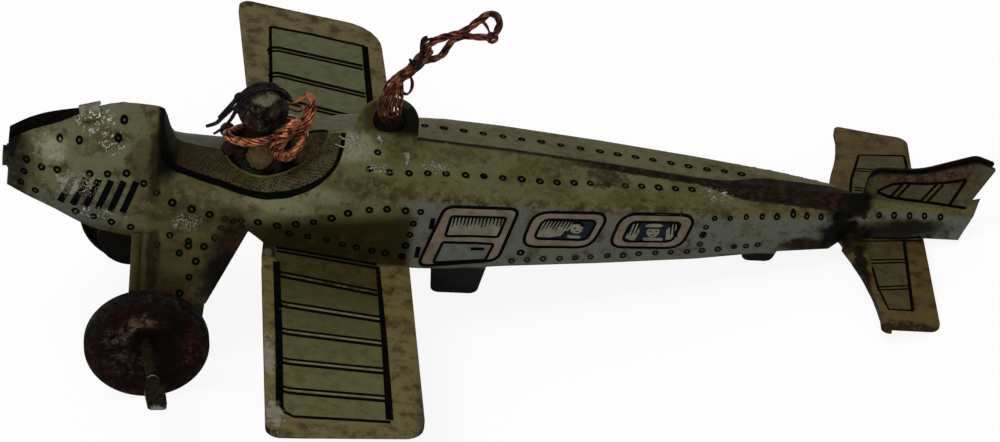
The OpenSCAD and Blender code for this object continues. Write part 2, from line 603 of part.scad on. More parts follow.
// Least gap between the two branches of the loop, away from where they leave the thick rope
function branch_gap(p, apart = 9) = min([for (i = [0 : len(p) - 1 - apart]) for (j = [i + apart : len(p) - 1])
    norm(p[i] - fork) > 1.6 && norm(p[j] - fork) > 1.6 ? norm(p[i] - p[j]) : far]) - 2 * loop_r;
echo(branch_gap = branch_gap(loop));
module hanger_wire() {
    color(copper) stand() {
        tube(ring, rope_r, 8, spread);
        tube(smooth(ROPE_ROUTE), thick_rope_r, 8);
        tube(loop, loop_r, 6, taper);
    }
}

left_half();
right_half();
axle();
left_wheel();
right_wheel();
pilot_left_shell();
pilot_right_shell();
neck_wire();
head_wire();
hanger_wire();
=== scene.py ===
# %% [markdown]
# A penny toy airplane is pressed from two sheets of printed tin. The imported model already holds
# its shapes, so this lesson dresses them: smooth skins, the print, wear and rust, fine wires.
# Everything is in metres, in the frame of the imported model.

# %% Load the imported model
import json
import math
import random

import bmesh
import bpy
from mathutils import Matrix, Vector
from mathutils.bvhtree import BVHTree


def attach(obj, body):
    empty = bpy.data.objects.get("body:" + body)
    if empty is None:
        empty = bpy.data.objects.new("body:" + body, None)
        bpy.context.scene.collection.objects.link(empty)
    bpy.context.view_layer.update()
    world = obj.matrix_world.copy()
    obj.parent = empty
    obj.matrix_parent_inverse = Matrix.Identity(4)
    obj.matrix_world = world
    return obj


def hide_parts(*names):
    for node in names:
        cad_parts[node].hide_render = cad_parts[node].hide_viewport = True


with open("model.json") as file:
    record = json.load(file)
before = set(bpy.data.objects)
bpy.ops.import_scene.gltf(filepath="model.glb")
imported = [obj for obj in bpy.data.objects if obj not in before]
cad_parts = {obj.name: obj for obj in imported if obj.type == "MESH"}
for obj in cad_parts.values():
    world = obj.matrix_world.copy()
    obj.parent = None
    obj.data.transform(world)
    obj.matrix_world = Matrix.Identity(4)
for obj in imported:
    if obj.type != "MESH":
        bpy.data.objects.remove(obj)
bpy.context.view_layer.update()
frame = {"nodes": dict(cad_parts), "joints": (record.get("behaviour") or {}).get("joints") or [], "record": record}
nodes = frame["nodes"]
record = frame["record"]
print("packed nodes:", sorted(nodes))

# %% [markdown]
# The toy was drawn level, with x from nose to tail, y to its right-hand side and z up from the
# lower edge of the body, in millimetres. It stands nose-up on its wheels. The record says how: the
# bearing's axis gives the tilt, and the axle's place gives the shift. With these two, every print
# mark can be placed in the level drawing and carried over to the standing toy.

# %% From the level drawing to the standing toy
MM = 0.001
AXLE_IN_DRAWING = Vector((15.3, 0, -10.1)) * MM
bearing = next(m for m in record["mounts"] if m["name"] == "propeller_bearing")
axle_joint = next(j for j in frame["joints"] if j["name"] == "axle_spin")
tilt = math.atan2(bearing["axis"][2], -bearing["axis"][0])
TILT = Matrix.Rotation(tilt, 3, "Y")
SHIFT = Vector(axle_joint["pos_m"]) - TILT @ AXLE_IN_DRAWING


def stood(x, y, z):
    """A point of the level drawing, in mm, as a point of the standing toy, in metres."""
    return TILT @ (Vector((x, y, z)) * MM) + SHIFT


def level(point):
    """The way back, in mm."""
    return TILT.transposed() @ (point - SHIFT) / MM


print("tilt", round(math.degrees(tilt), 3), "shift in mm", [round(v / MM, 3) for v in SHIFT])

# %% [markdown]
# The camera looks down on the port side from a little ahead of the nose, through a long lens, as
# the photographer's did. Its place is worked out in the level drawing and then tilted with the toy.

# %% Camera at the photograph's angle
PHOTO_AZIMUTH = math.radians(-7.87)
PHOTO_ELEVATION = math.radians(35.18)
PHOTO_ROLL = math.radians(7.06)
CAMERA_DISTANCE = 861.4
LENS, SENSOR = 253.57, 36
LOOKS_AT = (58.21, 0, 0.24)
flat = math.cos(PHOTO_ELEVATION)
back = Vector((math.sin(PHOTO_AZIMUTH) * flat, -math.cos(PHOTO_AZIMUTH) * flat,
               math.sin(PHOTO_ELEVATION)))
across = Vector((0, 0, 1)).cross(back).normalized()
upward = back.cross(across)
cam_x = across * math.cos(PHOTO_ROLL) + upward * math.sin(PHOTO_ROLL)
cam_y = upward * math.cos(PHOTO_ROLL) - across * math.sin(PHOTO_ROLL)
turn = Matrix((TILT @ cam_x, TILT @ cam_y, TILT @ back)).transposed().to_4x4()
camera = bpy.data.objects.new("camera", bpy.data.cameras.new("camera"))
bpy.context.scene.collection.objects.link(camera)
camera.data.sensor_width = SENSOR
camera.data.lens = LENS
camera.data.clip_end = 10
stands_at = stood(*LOOKS_AT) + TILT @ back * CAMERA_DISTANCE * MM
camera.matrix_world = Matrix.Translation(stands_at) @ turn
bpy.context.scene.camera = camera
print("camera at", [round(v, 4) for v in stands_at])

# %% [markdown]
# Materials are built from nodes. Small helpers keep that short: one starts a material with a
# Principled shader, one adds a node and links or sets its inputs in one go, and one makes sums. A
# socket knows the tree that it belongs to, so no helper has to be told.

# %% Node helpers


def is_socket(value):
    return isinstance(value, bpy.types.NodeSocket)


def new_material(name, roughness=0.5, metallic=0, specular=0.5):
    material = bpy.data.materials.new(name)
    material.use_nodes = True
    shader = material.node_tree.nodes["Principled BSDF"]
    shader.inputs["Roughness"].default_value = roughness
    shader.inputs["Metallic"].default_value = metallic
    shader.inputs["Specular IOR Level"].default_value = specular
    return material, shader


def add(near, kind, inputs=None, **settings):
    """A new node in the tree that near, a node or a socket, belongs to."""
    tree = near.id_data
    node = tree.nodes.new("ShaderNode" + kind)
    for key, value in settings.items():
        setattr(node, key, value)
    for key, value in (inputs or {}).items():
        if is_socket(value):
            tree.links.new(value, node.inputs[key])
        else:
            node.inputs[key].default_value = value
    return node


def feed(shader, name, value):
    shader.id_data.links.new(value, shader.inputs[name])


def calc(operation, a, b=0):
    near = a if is_socket(a) else b
    return add(near, "Math", {0: a, 1: b}, operation=operation).outputs[0]


def chain(operation):
    """A sum that takes any number of values, two at a time."""
    def joined(total, *values):
        for value in values:
            total = calc(operation, total, value)
        return total
    return joined


both = times = chain("MULTIPLY")
plus, minus, highest = chain("ADD"), chain("SUBTRACT"), chain("MAXIMUM")

# %% [markdown]
# Patterns are read in the level drawing, so a stain's place is the same pair of numbers as in the
# print. A mask is a value between 0 and 1: a noise past a soft threshold, or a ragged spot. Masks
# multiply where both must hold, and colours are laid over each other through them.

# %% Patterns, masks and coats


def level_coordinates(shader):
    """Object coordinates turned back into the level drawing, in mm."""
    place = add(shader, "TexCoord").outputs["Object"]
    move = -(TILT.transposed() @ SHIFT) / MM
    return add(place, "Mapping", {"Vector": place, "Location": move, "Rotation": (0, -tilt, 0),
                                  "Scale": (1 / MM, 1 / MM, 1 / MM)}).outputs[0]


def new_paint(name, roughness=0.5, metallic=0, specular=0.5):
    """A material, its shader, and the coordinates that its patterns are read in."""
    material, shader = new_material(name, roughness, metallic, specular)
    return material, shader, level_coordinates(shader)


def axes(where):
    return add(where, "SeparateXYZ", {0: where}).outputs


def noise(where, scale, detail=3, rough=0.5):
    return add(where, "TexNoise", {"Vector": where, "Scale": scale, "Detail": detail,
                                   "Roughness": rough}).outputs["Fac"]


def band(value, low, high):
    """Turns a value into a mask: 0 at low, 1 at high, smooth between."""
    return add(value, "MapRange", {"Value": value, "From Min": low, "From Max": high},
               interpolation_type="SMOOTHSTEP").outputs[0]


def mix(mask, a, b):
    """Colour a where the mask is 0, colour b where it is 1."""
    node = add(mask, "Mix", {"Factor": mask}, data_type="RGBA")
    for socket, value in ((node.inputs[6], a), (node.inputs[7], b)):
        if is_socket(value):
            mask.id_data.links.new(value, socket)
        else:
            socket.default_value = (*value, 1)
    return node.outputs[2]


def coats(colour, *layers):
    """Lays coats of colour over each other, each with its mask."""
    for mask, coat in layers:
        colour = mix(mask, colour, coat)
    return colour


def vector(operation, where, other=(0, 0, 0), output=0):
    return add(where, "VectorMath", {0: where, 1: other}, operation=operation).outputs[output]


def spot(where, centre, size, ragged=0.35, soft=0.45, scale=0.9):
    """A ragged spot round a point of the level drawing: 1 inside, 0 outside."""
    offset = vector("DIVIDE", vector("SUBTRACT", where, centre), size)
    length = vector("LENGTH", offset, output="Value")
    wobble = times(minus(noise(where, scale, 4, 0.6), 0.5), ragged * 4)
    return band(plus(length, wobble), 1 + soft / 2, 1 - soft / 2)


def bump(shader, height, strength, distance):
    node = add(shader, "Bump", {"Height": height, "Strength": strength, "Distance": distance})
    feed(shader, "Normal", node.outputs[0])


# %% [markdown]
# The floor and the light come early.
# The photograph has a plain white ground. A white floor under soft lamps does that, and a little
# glow that only the camera sees lifts it to white while the toy's shadow stays.

# %% Floor, world and lamps
floor_mesh = bpy.data.meshes.new("floor")
shape = bmesh.new()
bmesh.ops.create_grid(shape, x_segments=1, y_segments=1, size=1.5)
shape.to_mesh(floor_mesh)
shape.free()
floor = bpy.data.objects.new("floor", floor_mesh)
bpy.context.scene.collection.objects.link(floor)
material, shader = new_material("pale floor", roughness=0.9, specular=0.1)
shader.inputs["Base Color"].default_value = (0.86, 0.86, 0.86, 1)
glow = add(shader, "Emission", {"Color": (1, 1, 1, 1), "Strength": 1})
seen = times(add(shader, "LightPath").outputs["Is Camera Ray"], 0.9)
blend = add(shader, "MixShader", {0: seen, 1: shader.outputs[0], 2: glow.outputs[0]})
feed(material.node_tree.nodes["Material Output"], "Surface", blend.outputs[0])
floor_mesh.materials.append(material)

world = bpy.data.worlds.new("studio")
bpy.context.scene.world = world
world.use_nodes = True
backdrop = world.node_tree.nodes["Background"]
backdrop.inputs["Color"].default_value = (1, 1, 1, 1)
AMBIENT = 0.5
to_camera = add(backdrop, "LightPath").outputs["Is Camera Ray"]
strength = plus(times(to_camera, 1 - AMBIENT), AMBIENT)
feed(backdrop, "Strength", strength)

LAMPS = {"key": ((-0.25, -0.15, 0.75), 0.4, 3), "fill": ((-0.1, -0.75, 0.2), 0.6, 2.2),
         "rim": ((0.1, 0.6, 0.5), 0.5, 0.8)}
for name, (place, size, watts) in LAMPS.items():
    lamp = bpy.data.lights.new(name, "AREA")
    lamp.size = size
    lamp.energy = watts
    holder = bpy.data.objects.new(name, lamp)
    bpy.context.scene.collection.objects.link(holder)
    holder.location = place
    holder.rotation_euler = Vector(place).to_track_quat("Z", "Y").to_euler()
bpy.context.scene.view_settings.view_transform = "Standard"
print("lamps:", ", ".join(LAMPS))

# %% [markdown]
# Lithographed tin is steel sheet printed with thin ink and varnish. After a hundred years the olive
# ground has gone brown in the corners, is greener on the roof and greyer on the sides, and has rust
# where the varnish broke. Each of these is a colour laid on through a mask. The masks are read in
# the drawing's own millimetres, so that each stain can be put where the photograph shows it.

# %% Colours of the old tin
BROAD_MIDDLE_FINE = (0.13, 4, 0.6), (0.5, 6, 0.7), (1.1, 5, 0.65)  # scale, detail, roughness
ROOF = (0.072, 0.069, 0.026)
ROOF_PALE = (0.094, 0.092, 0.039)
ROOF_BROWN = (0.048, 0.04, 0.012)
NOSE = (0.083, 0.083, 0.045)
NOSE_LOW = (0.058, 0.061, 0.046)
SIDE = (0.074, 0.077, 0.058)
SIDE_DARK = (0.06, 0.06, 0.042)
PALE = (0.14, 0.14, 0.082)
VEIL = (0.042, 0.032, 0.011)
# painted shade on the side above the wing root, a darker and a paler tone of it
WING_ROOT_SHADE = (0.009, 0.007, 0.001)
WING_ROOT_SHADE_PALER = (0.01, 0.008, 0.002)
DULL_GREY = (0.038, 0.037, 0.021)
STAIN = (0.026, 0.018, 0.006)
RUST = (0.008, 0.004, 0.002)
RUST_LIGHT = (0.026, 0.014, 0.007)
RUST_BLACK = (0.004, 0.002, 0.001)
FIN_RUST = (0.012, 0.007, 0.004)
FIN_RUST_LIGHT = (0.064, 0.036, 0.018)
BARE = (0.45, 0.45, 0.4)
BARE_DULL = (0.16, 0.155, 0.12)
BLACK = (0.002, 0.002, 0.0015)
WING_TAN = (0.102, 0.083, 0.031)
WING_TAN_BROWN = (0.06, 0.045, 0.013)
TAIL_TAN = (0.069, 0.048, 0.014)
TAIL_TAN_BROWN = (0.038, 0.025, 0.007)
print("colours of the ground, from", ROOF, "to", TAIL_TAN_BROWN)

# %% [markdown]
# Wear isn't the same everywhere: fingers, water and damp left their own marks on this toy. Each
# is a ragged spot at a given place, and a list says how large, how ragged and how strong it is.

# %% Where the spots of stain and painted shade are
# centre, size, raggedness, softness, scale, then strength and limits of the fine noise in it
PALE_PLACES = [
    ((39, -2.6, 12), (3.2, 2.4, 1.4), 0.3, 0.8, 0.5),
    ((2.6, -3.4, 10.4), (2.2, 2, 1.5), 0.4, 0.8, 0.9),
    ((30, -6.8, 5.9), (9, 1.4, 1), 0.3, 0.8, 0.5, 0.6),
    ((34, -7.2, 7.9), (6, 1.4, 1), 0.3, 0.8, 0.5, 0.5)]
VEILS = [
    ((19, -6, 4.5), (5.5, 4, 4), 0.4, 1.2, 0.4, 0.85, (0.25, 0.55)),
    ((41.4, -7.4, 9.6), (4.2, 2, 1.3), 0.5, 1, 0.7, 1, (0.3, 0.55)),
    ((9, -3.5, 12.5), (2.6, 2, 1.6), 0.5, 1, 0.8, 0.8, (0.35, 0.55)),
    ((-0.2, -2.6, 7), (2, 2.4, 3.8), 0.5, 0.8, 0.8, 0.85),
    ((105.5, -1.8, 3.4), (5.5, 1.6, 0.9), 0.4, 0.8, 0.5, 0.9),
    ((13.8, -4.6, 9.6), (1.9, 2.4, 3), 0.5, 0.8, 0.6, 0.8)]
RUST_PLACES = [
    ((70.2, -2.2, 9), (2.2, 1.9, 0.8), 0.7, 0.8, 0.9, 0.8, (0.25, 0.5)),
    ((100, -1.5, 6.2), (3.5, 2.2, 1.4), 0.3, 0.5, 0.5),
    ((101, -4.4, 3.2), (2.4, 2.6, 1.5), 0.5, 0.6, 0.6),
    ((95.6, -4.2, 1.7), (3.2, 1.4, 1), 0.5, 0.8, 0.6),
    ((101.8, -11, 1.6), (0.9, 9, 2), 0.4, 0.6, 0.8, 0.85),
    ((106.5, -20, 1.3), (4.4, 1.1, 1), 0.5, 0.7, 1.2, 1, (0.3, 0.55)),
    ((24.8, -7.5, -3), (2, 4, 7), 0.4, 0.8, 0.5),
    ((15.3, -5, 10.5), (0.9, 3.4, 4.5), 0.4, 0.7, 0.8, 0.9),
    ((15.6, -7, -4), (0.8, 2, 5.5), 0.4, 0.7, 0.4, 0.85),
    ((41.5, -0.9, 15.2), (2.2, 1.6, 2.4), 0.5, 0.8, 0.7, 0.75)]
SOOT_AND_SHADE_PLACES = [
    ((24, -8, -5), (2.6, 4, 4), 0.5, 0.9, 0.7, 0.85),
    ((99.4, -3.4, 3.6), (2.3, 1.8, 2.6), 0.4, 0.7, 0.6),
    ((108.3, -1.8, 3.3), (4.8, 1.6, 0.9), 0.5, 0.8, 0.5, 0.9),
    # painted shade at the front of the fin's root
    ((102, -1, 6.4), (2, 1.6, 1.3), 0.4, 0.7, 0.8),
    ((105.4, -1.9, 2.6), (6.5, 1.7, 1), 0.5, 0.9, 0.6, 0.88),
    # painted shade along the tailplane's leading edge
    ((101.7, -11, 1.6), (0.8, 9, 2), 0.4, 0.6, 0.8, 0.8)]
FLAKES = [
    ((6.9, 0, 14.6), (1.5, 1.6, 0.9), 0.3, 0.4, 0.9, 0.3, (0.3, 0.7)),
    ((4.9, -5, 6.4), (1.2, 1, 1.3), 0.9, 0.4, 1.6, 0.35),
    ((28.6, -30.5, 0.4), (0.7, 3.6, 1.5), 0.9, 0.5, 1.3, 0.3),
    ((29, -41.2, 0.4), (0.9, 2.6, 1.5), 0.9, 0.5, 1.3, 0.3),
    ((29.2, -8.6, 0.4), (0.6, 0.7, 1), 0.9, 0.5, 1.6, 0.18),
    ((2.4, -3.3, 10.2), (1.5, 1.3, 1.3), 1.1, 0.5, 1.5, 0.24)]
SCRATCHES = [  # centre, size, scale, thickness of the strokes
    ((7.6, -1.8, 13.6), (2.6, 1.8, 1.4), 1.4, 0.03),
    ((10.2, -3.6, 11.8), (1.6, 1.2, 1.6), 1.1, 0.03),
    ((6.4, -5.2, 6.6), (2.6, 1.5, 1.5), 1.7, 0.03), ((8.2, -5.6, 3), (3.4, 1, 0.9), 1.3, 0.03),
    ((19.5, -6.3, 2.5), (1.8, 1.5, 1), 2.6, 0.06), ((39.1, -2.2, 12.3), (1.2, 2, 0.8), 1.5, 0.05),
    ((42.1, -5.5, 11), (1.5, 0.7, 0.8), 1.8, 0.05), ((49, -4.4, 10.9), (1.6, 0.8, 0.8), 1.6, 0.03),
    ((84, -2.6, 7.6), (2, 1.2, 0.8), 1.4, 0.03)]
print("stains placed:", sum(map(len, (PALE_PLACES, VEILS, RUST_PLACES, SOOT_AND_SHADE_PLACES, FLAKES))))

# %% [markdown]
# A list of spots becomes one mask: each a stain, or in some lists painted shade. A scratch is a
# level line of a noise: the thin place where it crosses one half, broken up by a second noise.

# %% Stains and scratches


def stain(where, fine, centre, size, ragged, soft, scale, strength=1, grain=None):
    mask = spot(where, centre, size, ragged, soft, scale)
    if grain:
        mask = both(mask, band(fine, *grain))
    return times(mask, strength) if strength < 1 else mask


def stains_and_shades(where, fine, rows):
    """One mask for all the spots of a list: some stain the tin, some are painted shade."""
    return highest(*[stain(where, fine, *row) for row in rows])


def scratches(where, centre, size, scale, thin):
    """Fine bright strokes round a point: broken level lines of a noise, seen in a spot only."""
    lines = calc("ABSOLUTE", minus(noise(where, scale, 2, 0.5), 0.5))
    broken = band(noise(where, scale * 1.9, 2, 0.5), 0.46, 0.54)
    return both(band(lines, thin, thin * 0.4), broken, spot(where, centre, size, 0.4, 0.8))


# %% [markdown]
# The ground is laid on in coats, as a painter would: first the greens of roof, nose and side, then
# brown veils, a painted shade on the side above the wing root, and the tan of wings and tailplane
# out to their edges.

# %% The greens, the veils and the tans


def sheet_values(where):
    """What the masks on the tin read: three noises, the place, the distance from the middle."""
    x, y, z = axes(where)
    return [noise(where, *grain) for grain in BROAD_MIDDLE_FINE] + [x, y, z, calc("ABSOLUTE", y)]


def clean_ground(where, broad, middle, fine, x, y, z, out):
    crease = plus(z, times(minus(x, 48), 0.066), times(fine, 0.8))
    patchy = band(middle, 0.42, 0.66)
    nose = mix(both(band(z, 6, 3), band(x, 14, 8)), NOSE, NOSE_LOW)
    roof = coats(mix(band(middle, 0.42, 0.62), ROOF, ROOF_PALE),
                 (both(band(broad, 0.42, 0.62), band(fine, 0.3, 0.6)), ROOF_BROWN))
    roof = mix(band(x, 16, 12), roof, mix(both(band(middle, 0.46, 0.62), 0.6), nose, ROOF_BROWN))
    side = mix(band(middle, 0.45, 0.7), SIDE, SIDE_DARK)
    fold = both(band(x, 46, 50), band(x, 86, 80), band(crease, 8.7, 9.3), band(crease, 10.5, 9.8))
    veil = highest(both(fold, band(fine, 0.42, 0.6)), stains_and_shades(where, fine, VEILS),
                   both(band(z, 1.9, 0.4), band(x, 14.8, 14.2)),
                   both(band(z, 1.6, -0.6), band(x, 26, 23), 0.75))
    # painted shade: the side just above the wing root is laid dark, standing in for shade
    rise = plus(minus(z, times(x, 0.2)), 5.6)
    shade_over_wing_root = both(band(rise, 4.6, 2), band(x, 21, 28), band(x, 47.2, 45.8), band(out, 9.6, 9.2))
    far_deck = both(band(y, 0.05, 0.3), band(x, 16.8, 17.6), band(x, 45, 26), band(z, 4, 6))
    fins = both(band(x, 102.5, 104), band(z, 5.6, 6.6), 0.75)
    tail = both(band(x, 99, 100.4), band(z, 4.2, 3.4), band(out, 2.4, 3.2))
    return coats(
        mix(highest(band(crease, 9, 9.7), band(x, 47, 44)), side, roof),
        (both(stains_and_shades(where, fine, PALE_PLACES), band(fine, 0.25, 0.5)), PALE),
        (veil, mix(band(middle, 0.4, 0.62), VEIL, STAIN)),
        (times(shade_over_wing_root, 0.95), mix(band(middle, 0.4, 0.6), WING_ROOT_SHADE_PALER, WING_ROOT_SHADE)),
        (highest(far_deck, fins), DULL_GREY),
        (band(out, 9.5, 9.9), mix(patchy, WING_TAN, WING_TAN_BROWN)),
        (tail, mix(patchy, TAIL_TAN, TAIL_TAN_BROWN)))


# %% [markdown]
# Rust starts where the sheet was cut or folded, and where water stood: along the ridge, in the
# fins, at the roots, and in freckles. Black sits in corners, on lips and at the cowl: soot-black
# grime in some places, and painted shade in others, on the tabs bent in under the belly, inside
# the lug, in the nose opening, at the fin's root and along the tailplane's leading edge. On the
# step behind the cowl it is black print with painted shade.

# %% Rust, soot and painted shade


def rust_masks(where, broad, middle, fine, x, y, z, out):
    seam = both(band(out, 0.55, 0.15), band(x, 45.5, 47), band(x, 101, 99), band(fine, 0.3, 0.45))
    near_edge = plus(y, plus(times(band(x, 81, 88), 1.9), times(fine, 1.4)), 0.45)
    far_edge = minus(y, times(band(x, 84, 91), 1.9))
    streak = both(band(x, 63, 71), band(x, 103.5, 102), band(near_edge, -0.15, 0.2),
                  band(far_edge, 0.35, 0), band(z, 4.6, 5.2))
    fins = both(band(x, 103, 104), band(z, 8.7, 9.5), band(x, 117.2, 114.5), band(fine, 0.2, 0.42))
    tip = both(band(out, 43.9, 44.9), band(fine, 0.4, 0.6), 0.8)
    freckles = times(band(noise(where, 0.45, 6, 0.72), 0.66, 0.74), 0.8)
    return highest(seam, streak, stains_and_shades(where, fine, RUST_PLACES), tip, freckles), streak, fins


def soot_and_shade_mask(where, broad, middle, fine, x, y, z, out):
    # painted shade with black print on the step behind the cowl; painted shade on the tabs under the belly, in the
    # nose opening and inside the lug
    cowl_step_print_and_shade = both(band(x, 15.1, 15.6), band(x, 18.4, 17.4), band(z, 7.2, 9.2))
    front_tab_shade = both(band(z, -0.7, -1.3), band(x, 45, 47))
    rear_tab_shade = both(band(z, 0.5, 0.1), band(x, 84.5, 85.5), band(x, 95, 94))
    tip_lip = both(band(out, 44, 44.2), band(plus(z, times(x, 0.075)), 1.9, 1.7))
    nose_opening_shade = both(band(plus(x, times(minus(10.3, z), 0.26)), -0.9, -1.3), band(z, 7.3, 8))
    lug = spot(where, (45.9, -0.9, 14.5), (2.2, 1.8, 3.2), 0.3, 0.6)
    return highest(both(cowl_step_print_and_shade, band(fine, 0.15, 0.4)), front_tab_shade, rear_tab_shade, tip_lip, nose_opening_shade,
                   both(lug, band(z, 11.7, 13.4), 0.97), stains_and_shades(where, fine, SOOT_AND_SHADE_PLACES),
                   # painted shade: the front opening of the nose, black for the shade inside the body
                   both(band(x, 0.4, -1), band(fine, 0.25, 0.5), 0.8))


# %% [markdown]
# All of it comes together in one function, because the ink is laid on the same ground and wears off
# with it. The finish is shared as well: varnish shines a little, rust is matt, bare tin is metal.

# %% The whole ground, and its finish


def aged_ground(where):
    """The ground colour, and the masks of rust and bare tin that go with it."""
    values = sheet_values(where)
    broad, middle, fine = values[:3]
    rust, streak, fin_rust = rust_masks(where, *values)
    grime = band(noise(where, 2.6, 4, 0.7), 0.5, 0.72)
    specks = band(noise(where, 3.2, 3, 0.7), 0.66, 0.72)
    bare = highest(stains_and_shades(where, fine, FLAKES), *[scratches(where, *row) for row in SCRATCHES])
    colour = coats(
        clean_ground(where, *values),
        (both(band(middle, 0.5, 0.66), band(broad, 0.3, 0.55), 0.8), STAIN),
        (times(grime, 0.45), STAIN), (times(specks, 0.85), BLACK),
        (rust, mix(band(fine, 0.35, 0.7), RUST, RUST_LIGHT)),
        (both(streak, band(fine, 0.62, 0.42), 0.85), RUST_BLACK),
        (fin_rust, mix(band(fine, 0.35, 0.65), FIN_RUST, FIN_RUST_LIGHT)),
        (soot_and_shade_mask(where, *values), BLACK), (bare, mix(fine, BARE, BARE_DULL)))
    return colour, rust, bare, fine


def tin_finish(shader, where, colour, rust, bare, fine):
    """Varnish shines a little, rust doesn't, bare tin is metal, and all of it is pitted."""
    feed(shader, "Base Color", colour)
    feed(shader, "Roughness", plus(times(fine, 0.35), 0.24, times(rust, 0.3)))
    feed(shader, "Metallic", times(bare, 0.5))
    pits = noise(where, 3.2, 5, 0.7)
    dents = noise(where, 0.2, 3, 0.5)
    relief = plus(times(dents, 1.4), times(pits, plus(rust, 0.12)))
    bump(shader, relief, 0.6, 0.4 * MM)


# %% [markdown]
# The outside is varnished print. The inside was never printed: it is bare sheet gone nearly black.
# On the far wall of the cockpit, where light falls in, a bright tan patch is painted light.

# %% The two faces of the sheet
litho, shader, where = new_paint("lithographed tin", specular=0.04)
tin_finish(shader, where, *aged_ground(where))
print(litho.name, "is made of", len(litho.node_tree.nodes), "nodes")

reverse, shader, where = new_paint("reverse of the sheet", specular=0.03)
fine = noise(where, 1.2, 5, 0.7)
colour = mix(band(fine, 0.4, 0.7), (0.003, 0.003, 0.002), (0.01, 0.008, 0.005))
# painted light: a bright tan patch where light falls into the cockpit
painted_light = spot(where, (35.3, 7.2, 5.8), (2.8, 3, 3.5), 0.2, 0.5)
colour = mix(painted_light, colour, mix(band(fine, 0.35, 0.6), (0.21, 0.175, 0.085), (0.1, 0.08, 0.034)))
tin_finish(shader, where, colour, band(fine, 0.45, 0.6), band(fine, 0.78, 0.8), fine)

# %% [markdown]
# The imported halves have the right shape, but each triangle of theirs is loose and flat. A copy is
# merged at its corners and shaded smooth, and only folds sharper than a chosen angle stay crisp.
# Tin is printed on one side only, so faces that look inwards or down get the dark, bare reverse.

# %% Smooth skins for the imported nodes
MERGE = 0.02 * MM


def finish_piece(name, data, body, slot, *materials):
    piece = bpy.data.objects.new(name, data)
    bpy.context.scene.collection.objects.link(piece)
    for material in materials:
        data.materials.append(material)
    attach(piece, body)
    return piece


def smooth_copy(node, name, body, slot, *materials, crisp=32, second=None):
    """second(normal, centre), in the level drawing, says which faces take the second material."""
    shape = bmesh.new()
    shape.from_mesh(nodes[node].data)
    bmesh.ops.remove_doubles(shape, verts=shape.verts, dist=MERGE)
    bmesh.ops.dissolve_degenerate(shape, edges=shape.edges, dist=MERGE / 2)
    shape.normal_update()
    for face in shape.faces:
        face.smooth = True
        away = TILT.transposed() @ face.normal
        face.material_index = 1 if second and second(away, level(face.calc_center_median())) else 0
    for edge in shape.edges:
        edge.smooth = edge.is_manifold and edge.calc_face_angle(0) < math.radians(crisp)
    mesh = bpy.data.meshes.new(name)
    shape.to_mesh(mesh)
    shape.free()
    piece = finish_piece(name, mesh, body, slot, *materials)
    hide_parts(node)
    print(name, "has", len(mesh.polygons), "faces")
    return piece


def is_dark_edge(away, centre):
    """The cut edges of wings and fins, which have gone black."""
    wing_edge = abs(centre.y) > 10 and abs(away.z) < 0.5 and abs(away.y) < 0.7
    return wing_edge or (centre.x > 103 and centre.z > 9 and away.z > 0.6)


def shows_reverse(side):
    """Which faces of one half show the bare reverse, or a blackened edge."""
    def test(away, centre):
        inwards = side * away.y + 0.4 * away.z < -0.12 and (side < 0 or centre.y > 0)
        return inwards or is_dark_edge(away, centre)
    return test


port_skin = smooth_copy("left_half", "port_stamping", "airframe", "litho_tin", litho, reverse,
                        second=shows_reverse(-1))
starboard_skin = smooth_copy("right_half", "starboard_stamping", "airframe", "litho_tin",
                             litho, reverse, second=shows_reverse(1))

# %% [markdown]
# The print is drawn flat, as the printer drew it on the sheet, and then laid on the formed tin. A
# side sheet holds what shows from the side, in x and z, and a plan sheet what shows from above, in
# x and y. Laying on means: cut every long edge short, shoot a ray from each corner at the skin, and
# stop a few hundredths of a millimetre above it. Layers of ink lie one above the other.

# %% Laying flat print on the formed tin
surface = bpy.context.evaluated_depsgraph_get()
skins = {-1: BVHTree.FromObject(port_skin, surface), 1: BVHTree.FromObject(starboard_skin, surface)}
INK_LIFT = 0.02
LAYER_LIFT = 0.012
REACH = 60
SIDES = {"port": -1, "starboard": 1}
MOST_CUTS = 8
TORN = 3  # a face is torn when an edge is this many times the finest length


def lay_on(sheet, name, side, seen_from, material, finest=0.55):
    """Wraps a flat sheet of ink on one half. side is -1 for port, seen_from is "side" or "top"."""
    outward = TILT @ Vector((0, side, 0) if seen_from == "side" else (0, 0, 1))
    for _ in range(MOST_CUTS):
        long_edges = [e for e in sheet.edges if e.calc_length() > finest]
        if not long_edges:
            break
        bmesh.ops.subdivide_edges(sheet, edges=long_edges, cuts=1, use_grid_fill=True)
        bmesh.ops.triangulate(sheet, faces=[f for f in sheet.faces if len(f.verts) > 4])
    lost = []
    for vert in sheet.verts:
        u, v, layer = vert.co
        start = (u, side * REACH, v) if seen_from == "side" else (u, side * v, REACH)
        hit, normal, _, _ = skins[side].ray_cast(stood(*start), -outward)
        if hit is None:
            lost.append(vert)
            continue
        if normal.dot(outward) < 0:
            normal = -normal
        vert.co = hit + normal * (INK_LIFT + LAYER_LIFT * layer) * MM
    bmesh.ops.delete(sheet, geom=lost, context="VERTS")
    longest = TORN * finest * MM
    torn = [f for f in sheet.faces if max(e.calc_length() for e in f.edges) > longest]
    bmesh.ops.delete(sheet, geom=torn, context="FACES")
    sheet.normal_update()
    bmesh.ops.reverse_faces(sheet, faces=[f for f in sheet.faces if f.normal.dot(outward) < 0])
    for face in sheet.faces:
        face.smooth = True
    mesh = bpy.data.meshes.new(name)
    sheet.to_mesh(mesh)
    sheet.free()
    print(name, "has", len(mesh.polygons), "faces,", len(lost), "corners beside the tin")
    return finish_piece(name, mesh, "airframe", "litho_ink", material)


# %% [markdown]
# Four ways of drawing cover the whole print. The first two are a flat outline and a line whose
# width may change along it. A smooth route rounds a chain of points, for lines that bend and later
# for the wires.

# %% Outlines and lines on a flat sheet
random.seed(7)


